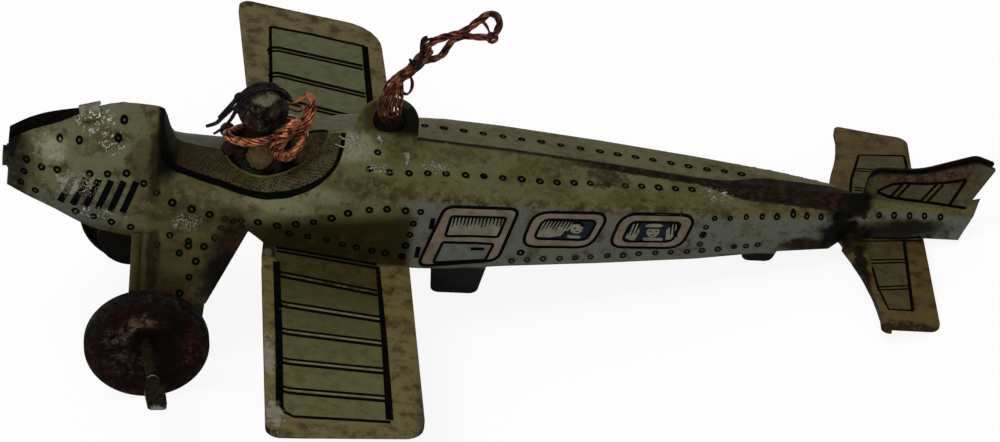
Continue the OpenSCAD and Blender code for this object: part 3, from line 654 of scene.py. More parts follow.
def outline(sheet, points, layer=0):
    return sheet.faces.new([sheet.verts.new((*p, layer)) for p in points])


def line(sheet, points, width, layer=2, closed=False, end_width=None):
    """A printed line: two chains beside its middle line, with quads between them."""
    chain = [Vector(p) for p in points]
    count = len(chain)
    rails = []
    for i, p in enumerate(chain):
        before = chain[i - 1] if closed or i > 0 else p
        after = chain[(i + 1) % count] if closed or i < count - 1 else p
        along = (after - before).normalized()
        here = width + ((end_width or width) - width) * i / (count - 1)
        wide = Vector((-along.y, along.x)) * here / 2
        rails.append([sheet.verts.new((*(p + wide), layer)), sheet.verts.new((*(p - wide), layer))])
    for i in range(count if closed else count - 1):
        (a, b), (c, d) = rails[i], rails[(i + 1) % count]
        sheet.faces.new((a, c, d, b))


def print_lines(name, side, seen_from, material, lines, finest=1):
    """Lays on lines, each given as what line takes after its sheet."""
    sheet = bmesh.new()
    for values in lines:
        line(sheet, *values)
    lay_on(sheet, name, side, seen_from, material, finest)


def smooth_route(points, step=0.22):
    """Catmull-Rom points about every step mm."""
    p = [Vector(q) for q in points]
    route = []
    for i in range(len(p) - 1):
        a, b, c, d = p[max(i - 1, 0)], p[i], p[i + 1], p[min(i + 2, len(p) - 1)]
        parts = max(2, int((c - b).length / step))
        for s in range(parts):
            t = s / parts
            bend, twist = 2 * a - 5 * b + 4 * c - d, 3 * b - a - 3 * c + d
            route.append(0.5 * (2 * b + (c - a) * t + bend * t * t + twist * t ** 3))
    return route + [p[-1]]


# %% [markdown]
# The other two are a ring for a rivet and the strip between two outlines, such as a window frame.
# A cheap press never printed two rivets quite alike, so rings differ a little in size and place.

# %% Rivets, strips and rounded corners
FILLED_IN = 0.07  # share of the rivets whose middle the ink has closed


def ring(sheet, centre, radius=0.52, layer=3, hole=0.32):
    """A printed rivet: a dark ring with an open middle, never quite the same twice."""
    radius *= random.uniform(0.9, 1.08)
    made = bmesh.ops.create_circle(sheet, cap_ends=True, segments=14, radius=radius,
                                   matrix=Matrix.Translation((*centre, layer)))
    if random.random() < FILLED_IN:
        return
    middle = list({f for v in made["verts"] for f in v.link_faces})
    bmesh.ops.inset_region(sheet, faces=middle, thickness=radius * (1 - hole), use_boundary=True)
    bmesh.ops.delete(sheet, geom=middle, context="FACES")


def row(sheet, start, end, count, radius=0.52):
    """Rivets from start to end, each a little out of line."""
    for i in range(count):
        t = i / (count - 1)
        centre = [a + (b - a) * t + random.uniform(-0.07, 0.07) for a, b in zip(start, end)]
        ring(sheet, centre, radius)


def strip(sheet, outer, inner, layer=0, closed=True):
    """The strip between two outlines, or between two open chains, bridged with faces."""
    edges = []
    for points in (outer, inner):
        verts = [sheet.verts.new((*p, layer)) for p in points]
        first = 0 if closed else 1
        edges += [sheet.edges.new((verts[i - 1], verts[i])) for i in range(first, len(verts))]
    bmesh.ops.bridge_loops(sheet, edges=edges)


def rounded(corners, radius, steps=5):
    """A slanted four-cornered outline with each corner rounded off."""
    points = []
    for i, corner in enumerate(corners):
        corner = Vector(corner)
        into = (Vector(corners[i - 1]) - corner).normalized() * radius
        out = (Vector(corners[(i + 1) % len(corners)]) - corner).normalized() * radius
        parts = [s / steps for s in range(steps + 1)]
        points += [corner + into * (1 - t) ** 2 + out * t ** 2 for t in parts]
    return points


# %% [markdown]
# Ink wears. Where it has rubbed off, the ground shows, so every ink material mixes its colour with
# the same aged ground by a worn-away mask. The navy that outlines rivets and windows is nearly
# black, the frames are a dull salmon, and the borders of wings and tail are tan gone brown.

# %% Ink materials


def ink(name, colour, second, worn_from, worn_to, gloss=0.04, inboard_shade=None):
    material, shader, where = new_paint(name, specular=gloss)
    ground, rust, bare, fine = aged_ground(where)
    tone = mix(band(noise(where, 0.7, 5, 0.65), 0.4, 0.66), colour, second)
    # painted shade: towards the body the tone goes over to a darker colour
    if inboard_shade:
        out = calc("ABSOLUTE", axes(where)[1])
        tone = mix(band(out, 36, 8), tone, inboard_shade)
    rubbed = band(noise(where, 1.9, 5, 0.7), worn_from, worn_to)
    kept = highest(rubbed, times(rust, 0.75), bare)
    tin_finish(shader, where, mix(kept, tone, ground), rust, bare, fine)
    return material


navy = ink("navy print", (0.001, 0.0015, 0.002), (0.003, 0.003, 0.002), 0.66, 0.71, 0)
faded = ink("faded navy print", (0.005, 0.006, 0.006), (0.014, 0.014, 0.01), 0.62, 0.7, 0)
salmon = ink("salmon print", (0.125, 0.104, 0.074), (0.084, 0.066, 0.042), 0.66, 0.72)
glass_blue = ink("window print", (0.004, 0.008, 0.013), (0.006, 0.01, 0.011), 0.68, 0.74, 0.03)
curtain = ink("curtain print", (0.132, 0.128, 0.094), (0.086, 0.084, 0.058), 0.68, 0.74)
grey_green = ink("door panel print", (0.074, 0.082, 0.067), (0.055, 0.062, 0.048), 0.68, 0.74)
# painted shade: the near wing panel darkens towards the body
near_green = ink("near wing panel", (0.08, 0.076, 0.029), (0.056, 0.051, 0.018), 0.7, 0.76,
                 inboard_shade=(0.032, 0.029, 0.009))
root_shade_green = ink("painted shade by the root", (0.036, 0.031, 0.01), (0.024, 0.02, 0.006), 0.7, 0.76)
far_green = ink("far wing panel", (0.072, 0.078, 0.034), (0.054, 0.056, 0.023), 0.7, 0.76)
tail_green = ink("tail panel", (0.05, 0.042, 0.015), (0.032, 0.026, 0.009), 0.7, 0.76)
tail_tan = ink("tan print", (0.06, 0.044, 0.02), (0.04, 0.028, 0.011), 0.66, 0.74)
print("materials so far:", len(bpy.data.materials))

# %% [markdown]
# Rows of printed rivets follow the seams that a real machine would have. A row is two ends and a
# count, and the row that sweeps under the cockpit follows a chain of its own.

# %% Rivets
SIDE_ROWS = [  # start, end, count
    ((-0.2, 8.4), (-0.6, 5), 3), ((1.1, 4.3), (1.6, 7.9), 2), ((7.3, 8.2), (11.8, 8.7), 3),
    ((3.6, 11.6), (5.9, 11.7), 2), ((3.5, 8.1), (10.6, 12.4), 2), ((6, 2.7), (12.7, 1.5), 4),
    ((25, 3), (26.1, 2.2), 2), ((31.8, 2.2), (36.4, 2), 3), ((38.4, 1.6), (43.6, 0.9), 4),
    ((46.6, 5.6), (45.6, 0.7), 4), ((45.4, 7.3), (47.3, 7.3), 2), ((17.6, 0.6), (16.1, -0.6), 2),
    ((19.9, -0.1), (18.8, -1.5), 2), ((20.9, -2.4), (20.2, -4.4), 2),
    ((19.2, -6.3), (16.4, -6.6), 2), ((23, 0.5), (23.6, 1.8), 2),
    ((21.8, -0.7), (19.9, -0.6), 2), ((60.1, 1), (82.4, 3.8), 2)]
FADED_ROWS = [
    ((59.1, -0.2), (84.6, 1.2), 14), ((82.6, 5), (82.1, 2.2), 3), ((86.5, 1.6), (89.4, 1.8), 3)]
SWEEP = [
    (13.9, 7.6), (15.5, 6.5), (17.5, 5.2), (19.9, 4.5), (22.1, 3.9), (24, 3.3), (26, 3.2),
    (28, 3.3), (30.3, 3.2), (32.5, 3.8), (34.6, 4.4), (36.7, 5.3), (38.6, 6.3), (41.1, 7.1),
    (43.2, 7.4)]
TAIL_ROWS = [
    ((83.4, 6.3), (93.3, 6.1), 6), ((95, 5.9), (100.7, 5.1), 4), ((102.5, 4.9), (112.1, 4.5), 6)]
ROOF_ROWS = {
    "port": [((43.4, 5.8), (61.8, 4.6), 9), ((63.9, 4.4), (80.9, 2.3), 9),
             ((42, 3), (41, 5.6), 2)],
    "starboard": [((48.1, 4.1), (69.8, 3.2), 10), ((72, 3.1), (87.5, 2.4), 8)]}
for word, side in SIDES.items():
    sheet = bmesh.new()
    for start, end, count in SIDE_ROWS:
        row(sheet, start, end, count, 0.48)
    for centre in SWEEP:
        ring(sheet, centre)
    for start, end, count in TAIL_ROWS:
        row(sheet, start, end, count, 0.38)
    lay_on(sheet, word + "_side_rivets", side, "side", navy, finest=0.6)
    sheet = bmesh.new()
    for start, end, count in FADED_ROWS:
        row(sheet, start, end, count, 0.45)
    lay_on(sheet, word + "_faded_rivets", side, "side", faded, finest=0.6)
    sheet = bmesh.new()
    for start, end, count in ROOF_ROWS[word]:
        row(sheet, start, end, count)
    ring(sheet, (11.2, 1.8))
    lay_on(sheet, word + "_roof_rivets", side, "top", navy, finest=0.6)

# %% [markdown]
# A window is a dark edge, a salmon frame, a dark inner edge and the pane. The door has a pane with
# a pleated curtain above a grey panel. Slanted vents stand on the nose. Each is a function that
# draws on the sheets of the inks it needs, so that both sides of the toy can use it.

# %% Frames, door and vents
DOOR = [(50.2, 8.1), (59.3, 7.8), (57.4, -0.1), (47.6, -0.6)]
DOOR_FIELD = [(50.9, 7.2), (58.2, 7), (56.3, 0), (48.9, -0.2)]
PANES = {"curtain": [(51.1, 6.7), (57.8, 6.5), (57.1, 3.5), (50.6, 3.8)],
         "panel": [(50.4, 2.9), (56.7, 2.4), (55.9, 0), (49.5, -0.1)]}
WINDOWS = [
    ([(61.2, 7.4), (70.4, 7.3), (68.6, 1.8), (60, 2)],
     [(62.4, 6.3), (69, 6.2), (68, 3), (61.5, 3.2)]),
    ([(72, 7.2), (81.2, 6.8), (79.8, 1.5), (70.8, 1.9)],
     [(73.2, 6), (79.5, 5.8), (78.6, 2.6), (72.4, 2.8)])]


def draw_windows(frames, dark, panes):
    for outer, inner in WINDOWS:
        outer, inner = rounded(outer, 1.9), rounded(inner, 0.9)
        strip(frames, outer, inner, 1)
        line(dark, outer, 0.4, 3, closed=True)
        line(dark, inner, 0.36, 3, closed=True)
        outline(panes, inner, 1)


def pleats(sheet, left, right, top, slant, count, length):
    """Hanging folds of a curtain: short slanted strokes of uneven length."""
    for i in range(count):
        x = left + (right - left) * i / (count - 1)
        drop = length * random.uniform(0.7, 1.1)
        line(sheet, [(x, top), (x + slant * drop, top - drop)], 0.27, 4, end_width=0.12)


def draw_door(frames, dark, sheets):
    """The door, with its pane, its panel, a handle and two hinges."""
    edge, field = rounded(DOOR, 1.2), rounded(DOOR_FIELD, 0.5)
    strip(frames, edge, field, 1)
    outline(frames, field, 1)
    line(dark, edge, 0.42, 3, closed=True)
    for kind, corners in PANES.items():
        outline(sheets[kind], rounded(corners, 0.3, 3), 2)
        line(dark, rounded(corners, 0.3, 3), 0.38, 3, closed=True)
    pleats(dark, 51.5, 57.3, 6.5, -0.12, 14, 1.5)
    line(dark, [(53.9, 1.75), (55.6, 1.65)], 0.45, 3)
    for x, z in ((48.9, 5.6), (47.5, 1.4)):
        line(dark, [(x, z + 0.8), (x - 0.15, z - 0.8)], 0.6, 2)


def draw_vents(dark):
    for i in range(6):
        x = 4.1 + 1.5 * i
        line(dark, [(x, 3.6 - 0.03 * i), (x + 1.4, 7.5 + 0.05 * i)], 0.8, 2)


# %% [markdown]
# Behind the panes hang curtains, and two plain heads look out, one bare and one capped, as simple
# as a printer of cheap toys would cut them: a pale disc, and dark discs and strokes on it.

# %% Curtains and heads, and the whole cabin


def disc(sheet, centre, width, height, layer):
    place = Matrix.Translation((*centre, layer)) @ Matrix.Diagonal((width, height, 1, 1))
    bmesh.ops.create_circle(sheet, cap_ends=True, segments=16, radius=0.5, matrix=place)


def draw_bare_head(dark, pale):
    """First window: a gathered curtain on the left and a bare head by the right edge."""
    gathered = [(62.4, 6), (66, 5.9), (65.7, 4.7), (65, 3.7), (63.4, 3.4), (61.8, 3.5), (61.9, 4.6)]
    outline(pale, gathered, 2)
    pleats(dark, 62.9, 65.9, 6.1, -0.4, 8, 1.4)
    line(dark, [(64.9, 3.5), (65.4, 4.5)], 0.25, 4)
    disc(pale, (66.6, 4.9), 1.6, 1.7, 3)
    line(dark, [(66.1, 5.8), (66.9, 5.8), (67.4, 5.3)], 0.45, 4)
    disc(dark, (66.4, 4.9), 0.28, 0.24, 4)
    disc(dark, (66.7, 4.4), 0.5, 0.16, 4)
    line(pale, [(65.6, 3.6), (67.2, 3.5)], 0.45, 3)


def draw_capped_head(dark, pale):
    """Second window: curtains at both sides and a capped head between them."""
    line(pale, [(73.6, 5.6), (73.8, 4.4), (73.2, 3.1)], 1, 2, end_width=1.5)
    line(pale, [(78.9, 5.4), (78.2, 4.4), (78.4, 3)], 0.9, 2, end_width=1.2)
    pleats(dark, 73.4, 74.3, 5.8, -0.2, 3, 2.5)
    pleats(dark, 78.2, 79, 5.6, 0.05, 3, 2.4)
    disc(pale, (76.1, 4.3), 1.6, 1.9, 3)
    disc(pale, (76.1, 5.3), 2.2, 0.7, 4)
    line(dark, [(75.3, 4.95), (76.9, 4.9)], 0.25, 5)
    for x in (75.7, 76.5):
        disc(dark, (x, 4.4), 0.26, 0.24, 5)
    disc(dark, (76.1, 3.75), 0.5, 0.16, 5)
    line(pale, [(75, 3.1), (77.4, 3)], 0.5, 3)


for word, side in SIDES.items():
    inks = {"salmon": salmon, "navy": navy, "pane": glass_blue, "curtain": curtain,
            "panel": grey_green}
    sheets = {name: bmesh.new() for name in inks}
    frames, dark, panes, pale, _ = sheets.values()
    draw_windows(frames, dark, panes)
    draw_bare_head(dark, pale)
    draw_capped_head(dark, pale)
    draw_door(frames, dark, sheets)
    draw_vents(dark)
    for name, material in inks.items():
        lay_on(sheets[name], word + "_cabin_" + name, side, "side", material)

# %% [markdown]
# Wings and tailplane are tan to their edges, with a green panel crossed by pairs of lines for the
# ribs. A panel is one flat outline, and the lines are drawn over it. The two wings were printed a
# little differently, so each has its own lines. Plan sheets count y outwards.

# %% Wing print
WINGS = {
    "port": {
        "gap": 0.47, "front_width": (0.85, 0.95), "rear_width": (0.5, 0.95),
        "front": [(30.35, 10.4), (30, 26.4), (29.55, 39.6)],
        "rear": [(42.7, 9.9), (42.75, 24.5), (42.6, 39.9)],
        "tip": [(29.7, 39.2), (30.1, 40.6), (31.1, 41.3), (42.7, 40.3)],
        "root": [(30.3, 7.3), (42.6, 9.3)],
        "ribs": [((31, 13.1), (42.4, 15.2)), ((30.9, 19.1), (42.4, 20.4)),
                 ((30.7, 24.6), (42.4, 25.2)), ((30.5, 30.5), (42.4, 30.5)),
                 ((30.3, 36.2), (42.3, 35.9))]},
    "starboard": {
        "gap": 0.4, "front_width": (0.5, 0.4), "rear_width": (0.9, 0.8),
        "front": [(31.2, 9.9), (31.2, 27.9), (31.6, 40.2)],
        "rear": [(43.5, 9.8), (43.6, 26), (43.6, 38.2)],
        "tip": [(31.6, 40.2), (36.7, 39.6), (43.6, 38.2)],
        "root": [(31.2, 7.6), (43.5, 9.3)],
        "ribs": [((31.8, 35.3), (43.1, 33.2)), ((31.7, 29.6), (43.1, 26.9)),
                 ((31.6, 24), (43.1, 21.2)), ((31.5, 18.4), (43.1, 15.8)),
                 ((31.4, 12.6), (43.1, 10.8))]}}
HOOK = [(-0.6, -1.1), (-0.3, -0.2), (0.7, 0.05)]  # how a rib line starts, from its front end
for word, wing in WINGS.items():
    side, gap = SIDES[word], wing["gap"]
    sheet = bmesh.new()
    outline(sheet, wing["front"][::-1] + wing["root"] + wing["rear"] + wing["tip"][::-1])
    green, pale_ink = (near_green, salmon) if side < 0 else (far_green, tail_tan)
    lay_on(sheet, word + "_wing_panel", side, "top", green, finest=1.2)
    sheet = bmesh.new()
    line(sheet, wing["front"], wing["front_width"][0], end_width=wing["front_width"][1])
    line(sheet, wing["rear"], wing["rear_width"][0], end_width=wing["rear_width"][1])
    line(sheet, wing["tip"], 0.5)
    pale = bmesh.new()
    for (x0, y0), (x1, y1) in wing["ribs"]:
        for shift, width in ((-gap, 0.42), (gap, 0.54)):
            hook = smooth_route([(x0 + dx, y0 + dy + shift) for dx, dy in HOOK], 0.25)
            line(sheet, hook + [Vector((x1, y1 + shift))], width)
        line(pale, [(x0 + 0.5, y0), (x1, y1)], 0.34, 1)
    lay_on(pale, word + "_wing_pale_lines", side, "top", pale_ink, finest=1.2)
    lay_on(sheet, word + "_wing_lines", side, "top", navy, finest=1.2)
# painted shade: a darker panel over the port wing where it meets the body
sheet = bmesh.new()
outline(sheet, [(30.2, 7.3), (42.7, 9.2), (42.7, 15.6), (38, 15), (34, 14), (30.4, 13.2)], 1)
lay_on(sheet, "port_wing_root_shade", -1, "top", root_shade_green, finest=1)
print_lines("port_wing_fold", -1, "top", navy, [([(30.4, 7.5), (42.6, 9.5)], 0.56, 3),
                                                ([(30.4, 8.25), (42.7, 10.25)], 0.5, 3)])

# %% [markdown]
# The tailplane repeats the wings in small: a tan border, a green panel and paired rib lines. The
# fin has ribs too, with pale bars between their lines and a pale rear border, drawn from the side.
# The print is the same on both halves of the fin, but the tailplane differs a little.

# %% Tailplane and fin print
TAILS = {
    "port": {
        "panel": [(102.6, 3.4), (102.9, 8), (103.3, 13), (104.2, 17), (107.3, 16.6), (107.6, 3.4)],
        "lines": [([(107.6, 3.6), (107.5, 9), (107.3, 16.6)], 0.42),
                  ([(103.1, 9), (103.4, 13), (104.3, 16.9), (107.4, 16.6)], 0.3)],
        "ribs": [((103, 7.95), (107.4, 7.3)), ((103.2, 13.1), (107.3, 12.25)),
                 ((102, 3.75), (109.8, 2.9))]},
    "starboard": {
        "panel": [(101.8, 4.5), (102.5, 9.5), (104.1, 15.3), (110, 16.2), (109.9, 3.4)],
        "lines": [([(101.8, 5), (102.5, 9.5), (104.1, 15.2), (110, 16.2)], 0.35),
                  ([(110, 16.2), (109.9, 4.4)], 0.35)],
        "ribs": [((103.2, 11.7), (110, 12)), ((102.6, 7.2), (109.9, 7.4))]}}
FIN_EDGES = [
    ([(103.9, 7.5), (105.6, 6.8), (107.8, 6.5), (110, 6.3), (115.2, 5.6)], 0.45),
    ([(103.9, 7.6), (104.8, 8.3), (105.6, 8.8), (107.2, 9.1), (109.5, 9.1), (111.5, 9.3),
      (113.3, 9.7), (114.6, 10.1)], 0.42),
    ([(114.6, 10), (113.1, 5.9)], 0.42)]
FIN_BORDER = ([(115.3, 9.7), (114.6, 8), (113.8, 5.9)], 0.9, 1)
FIN_RIBS = [((107.3, 8.9), (106.1, 6.9)), ((111.5, 9.1), (109.9, 6.4))]
for word, tail in TAILS.items():
    side = SIDES[word]
    sheet = bmesh.new()
    outline(sheet, tail["panel"])
    lay_on(sheet, word + "_tail_panel", side, "top", tail_green, finest=1)
    ribs = [([(x0, y0 + gap), (x1, y1 + gap)], 0.25)
            for (x0, y0), (x1, y1) in tail["ribs"] for gap in (-0.3, 0.3)]
    print_lines(word + "_tail_lines", side, "top", navy, tail["lines"] + ribs)
    ribs = [([(x0 + gap, z0), (x1 + gap, z1)], 0.34)
            for (x0, z0), (x1, z1) in FIN_RIBS for gap in (-0.42, 0.42)]
    print_lines(word + "_fin_lines", side, "side", navy, FIN_EDGES + ribs, 0.8)
    print_lines(word + "_fin_border", side, "side", tail_tan,
                [FIN_BORDER] + [(rib, 0.4) for rib in FIN_RIBS], 0.8)

# %% [markdown]
# Round the cockpit the print imitates a padded edge: a band of fine dark dots, closed off by a
# thick dark line. The band is bridged between that line and the edge of the hole, and its dots are
# the cells of a hardly shuffled Voronoi pattern, nearly a square grid. Only the port half shows it.

# %% Stippled cockpit edge
BAND_OUTER = [(15.8, 4.3), (18, 4), (20.7, 4.5), (23.4, 5), (26, 5.6), (29.8, 6.1), (32.7, 6.4),
              (35.2, 6.2), (36.7, 5.2), (37.6, 2.8), (37.9, 0.6)]
BAND_INNER = [(17.8, 0.2), (21, 0.2), (23.3, 0.25), (24.3, 2.2), (26.4, 3.5), (29, 3.9),
              (31.6, 3.7), (34, 2.8), (35.4, 1.8), (36.1, 1), (36.4, 0.4)]
stipple, shader, where = new_paint("stippled print", specular=0.04)
ground, rust, bare, fine = aged_ground(where)
flat = add(where, "Mapping", {"Vector": where, "Scale": (1, 1, 0), "Rotation": (0, 0, 0.5)})
cells = add(flat, "TexVoronoi", {"Vector": flat.outputs[0], "Scale": 2.7, "Randomness": 0.3})
dots = both(band(cells.outputs["Distance"], 0.42, 0.24), band(noise(where, 0.7, 3, 0.5), 0.25, 0.5))
base = mix(band(fine, 0.35, 0.7), (0.052, 0.044, 0.018), (0.02, 0.015, 0.005))
length = axes(where)[0]
base = mix(band(length, 26, 19), base, (0.02, 0.015, 0.005))
# black print with painted shade: at the front end, over the step behind the cowl, the band goes black
base = mix(band(length, 18.6, 17.2), mix(dots, base, (0.004, 0.003, 0.002)), BLACK)
tin_finish(shader, where, base, rust, bare, fine)
sheet = bmesh.new()
strip(sheet, smooth_route(BAND_OUTER, 0.6), smooth_route(BAND_INNER, 0.6), 1, closed=False)
lay_on(sheet, "port_stipple", -1, "top", stipple, finest=0.4)
print_lines("port_stipple_line", -1, "top", navy,
            [(smooth_route(BAND_OUTER, 0.5), 0.72, 4, False, 0.5)], 0.4)

# %% [markdown]
# Where the roof was knocked, the tin shows in crooked strokes that taper to nothing. A noise would
# scatter them anywhere, so these few are drawn one by one, each as a line that gets thinner.

# %% Bright strokes where something scraped the roof
scraped, shader, where = new_paint("scraped tin", roughness=0.4, metallic=0.4)
fine = noise(where, 2.4, 4, 0.7)
feed(shader, "Base Color", mix(band(fine, 0.42, 0.6), (0.24, 0.235, 0.2), (0.085, 0.082, 0.045)))
SCRAPES = [
    ([(38.7, 0.9), (39.2, 1.6), (39.3, 2.4), (39.7, 3.2)], 0.5),
    ([(42, 0.9), (42.5, 1.3), (42.4, 1.8)], 0.55),
    ([(41.3, 5.6), (42, 5.3), (42.9, 5.4)], 0.35),
    ([(45.5, 2.6), (45.6, 3.4), (45.4, 4.6)], 0.7),
    ([(36.9, 2.1), (37.5, 2.5), (38.2, 2.7), (39, 2.6)], 0.2),
    ([(37.3, 1), (38.3, 1.7), (39.2, 1.5)], 0.18),
    ([(48.7, 4.2), (49.5, 4.9)], 0.16),
    ([(49.4, 4.1), (50.2, 5)], 0.12)]
print_lines("port_scrapes", -1, "top", scraped,
            [(smooth_route(points, 0.3), width, 5, False, 0.1) for points, width in SCRAPES], 0.4)

# %% [markdown]
# The wheels were dipped in maroon paint that has gone nearly black, with dust caked in the dish and
# an olive rim where they were rubbed. Distance from the axle in the side view picks the zones.

# %% Wheels
wheel_paint, shader, where = new_paint("wheel paint", specular=0.02)
x, _, z = axes(where)
in_side_view = add(where, "CombineXYZ", {0: x, 1: 0, 2: z}).outputs[0]
from_hub = vector("DISTANCE", in_side_view, AXLE_IN_DRAWING / MM, "Value")
fine = noise(where, 1.5, 5, 0.75)
coarse = noise(where, 0.4, 4, 0.6)
glints = both(band(fine, 0.7, 0.73), band(from_hub, 1.5, 3))
DUST = [  # centre, size, worn from, colour
    ((14.4, -14, -8.3), (2.6, 3, 2.3), 0.42, (0.085, 0.058, 0.032)),
    ((11.3, -14, -9.3), (1.5, 3, 1.3), 0.46, (0.055, 0.042, 0.04)),
    ((12.8, -14, -12.6), (2.4, 3, 1.8), 0.48, (0.03, 0.019, 0.018)),
    ((20.3, -14, -10.4), (1.6, 3, 2.6), 0.5, (0.022, 0.013, 0.014))]
SHADED = [((18.2, -14, -8.2), (2, 3, 3.4)), ((18.4, -14, -13.6), (1.8, 3, 2.6))]
rim = mix(band(fine, 0.45, 0.65), (0.003, 0.003, 0.002), (0.015, 0.013, 0.009))
colour = coats(
    mix(band(fine, 0.38, 0.62), (0.0045, 0.0015, 0.001), (0.01, 0.004, 0.003)),
    (both(band(fine, 0.6, 0.68), band(coarse, 0.45, 0.6)), (0.03, 0.018, 0.013)),
    *[(both(spot(where, centre, size, 0.5, 0.9, 0.8), band(fine, worn, worn + 0.14)), tone)
      for centre, size, worn, tone in DUST],
    *[(times(spot(where, centre, size, 0.4, 0.8, 0.6), 0.85), BLACK) for centre, size in SHADED],
    (band(from_hub, 6.5, 7), rim), (band(from_hub, 2.6, 1.9), (0.003, 0.002, 0.001)),
    (glints, (0.12, 0.1, 0.08)))
tin_finish(shader, where, colour, band(coarse, 0.4, 0.6), glints, fine)
for node, name in (("left_wheel", "port_wheel"), ("right_wheel", "starboard_wheel")):
    smooth_copy(node, name, node, "wheel_paint", wheel_paint)

# %% [markdown]
# The axle is a steel wire that has gone brown. Its flat port end and a narrow band nearer the wheel
# get a bright metal colour: painted highlights, made bare metal as well.

# %% Axle
axle_steel, shader, where = new_paint("browned steel", specular=0.04)
fine = noise(where, 1.5, 5, 0.7)
colour = mix(band(fine, 0.35, 0.65), (0.003, 0.002, 0.001), (0.017, 0.014, 0.007))
# painted highlights: a bright metal colour on the flat port end and on a band nearer the wheel
tip = both(spot(where, (16.2, -27, -10.4), (0.9, 0.6, 0.6), 0.7, 0.5, 1.6), 0.5)
highlight_and_wear = highest(tip, both(spot(where, (15.9, -21.5, -9.6), (0.8, 0.1, 0.8), 0.3, 0.4, 2), 0.5))
tin_finish(shader, where, mix(highlight_and_wear, colour, (0.3, 0.3, 0.29)), band(fine, 0.5, 0.7), highlight_and_wear, fine)
smooth_copy("axle", "axle_wire", "axle", "axle_steel", axle_steel)

# %% [markdown]
# The pilot was painted once. Most of it has blackened, the crown and one shoulder still show pale
# olive, and the chin is red-brown.

# %% Pilot
pilot_tin, shader, where = new_paint("pilot paint", specular=0.03)
fine = noise(where, 1.6, 5, 0.75)
patchy = noise(where, 0.8, 4, 0.6)
mottled = band(noise(where, 1, 4, 0.7), 0.52, 0.6)
half = band(fine, 0.35, 0.65)
SHOULDER = (27.9, -2.9, 10.2)
chin = spot(where, (25.6, -2.2, 13.4), (2.4, 2.2, 1.5), 0.3, 0.5)
crown = spot(where, (27.8, -1.5, 18.1), (1.6, 1.3, 0.9), 0.5, 0.6, 1)
face = spot(where, (26.5, -2.4, 15.4), (2.6, 2, 2.2), 0.3, 0.6)
fist = spot(where, (24.05, -1.9, 10.65), (1.3, 1.3, 1.3), 0.1, 0.3)
colour = coats(
    mix(band(patchy, 0.42, 0.6), (0.003, 0.0025, 0.0015), (0.018, 0.015, 0.008)),
    (band(fine, 0.62, 0.68), (0.07, 0.064, 0.044)), (times(chin, 0.85), (0.022, 0.009, 0.005)),
    (both(crown, band(fine, 0.36, 0.5)), (0.115, 0.105, 0.066)),
    (both(face, mottled, 0.8), (0.062, 0.056, 0.038)),
    (times(spot(where, SHOULDER, (2.2, 2.6, 2.2), 0.08, 0.2, 0.8), 0.95), (0.003, 0.002, 0.002)),
    (spot(where, SHOULDER, (1.75, 2.2, 1.75), 0.1, 0.16, 0.8),
     mix(half, (0.105, 0.078, 0.033), (0.06, 0.042, 0.016))),
    (fist, mix(half, (0.01, 0.004, 0.003), (0.03, 0.012, 0.009))))
tin_finish(shader, where, colour, band(patchy, 0.5, 0.3), band(fine, 0.79, 0.81), fine)
bump(shader, plus(patchy, times(fine, 0.5)), 0.8, 1.1 * MM)
for side, word in (("left", "port"), ("right", "starboard")):
    smooth_copy(f"pilot_{side}_shell", f"pilot_{word}_shell", "airframe", "pilot_tin", pilot_tin,
                crisp=50)

# %% [markdown]
# A rope of fine wire is a bundle of strands that turn about one route. The route is a list of
# points in the level drawing, rounded by a smooth curve. At each step the strands' angle moves on
# by the lay, and each strand keeps its own small error, as hand-twisted wire does. Each strand is a
# curve with a round section, so it stays round however close the camera comes.

# %% Twisting strands along a route
ERRORS = (-0.35, 0.35), (0.75, 1), (0.85, 1.12)  # of a strand's angle, reach and thickness


def strands(name, body, slot, material, bundles):
    """Each bundle: a route, how many strands, bundle radii, wire radius, length of one turn."""
    data = bpy.data.curves.new(name, "CURVE")
    data.dimensions = "3D"
    data.bevel_depth = MM
    data.bevel_resolution = 2
    data.use_fill_caps = True
    for points, count, radii, wire, turn_length in bundles:
        route = smooth_route(points)
        side = Vector((0, 1, 0.3))
        travelled = 0
        paths = [[] for _ in range(count)]
        errors = [[random.uniform(*limits) for limits in ERRORS] for _ in paths]
        for i, centre in enumerate(route):
            ahead = (route[min(i + 1, len(route) - 1)] - route[max(i - 1, 0)]).normalized()
            side = (side - ahead * side.dot(ahead)).normalized()
            other = ahead.cross(side)
            travelled += (centre - route[i - 1]).length if i else 0
            along = i / (len(route) - 1) * (len(radii) - 1)
            low = min(int(along), len(radii) - 2)
            radius = radii[low] + (radii[low + 1] - radii[low]) * (along - low)
            for k, path in enumerate(paths):
                astray, nearness, _ = errors[k]
                angle = 2 * math.pi * (k / count + travelled / turn_length) + astray
                outwards = side * math.cos(angle) + other * math.sin(angle)
                path.append(centre + outwards * (radius * nearness))
        for path, (_, _, thickness) in zip(paths, errors):
            spline = data.splines.new("POLY")
            spline.points.add(len(path) - 1)
            for point, place in zip(spline.points, path):
                point.co = (*stood(*place), 1)
                point.radius = wire * thickness
            spline.use_smooth = True
    print(name, "has", len(data.splines), "strands")
    return finish_piece(name, data, body, slot, material)


# %% [markdown]
# The copper is old magnet wire: bright only where it was rubbed, brown and black in the grooves. A
# metal shader with a patchy brown base does that without any picture.

# %% Copper
copper, shader, where = new_paint("dull copper", metallic=0.9, specular=0.2)
fine = noise(where, 1.2, 4, 0.6)
bright = mix(band(fine, 0.36, 0.62), (0.045, 0.013, 0.007), (0.36, 0.13, 0.058))
dull = mix(band(fine, 0.4, 0.66), (0.024, 0.008, 0.005), (0.15, 0.049, 0.025))
along = axes(where)[0]
feed(shader, "Base Color", mix(band(along, 35, 40), bright, dull))
feed(shader, "Roughness", plus(times(fine, 0.3), 0.18))
print(copper.name, "is made of", len(copper.node_tree.nodes), "nodes")

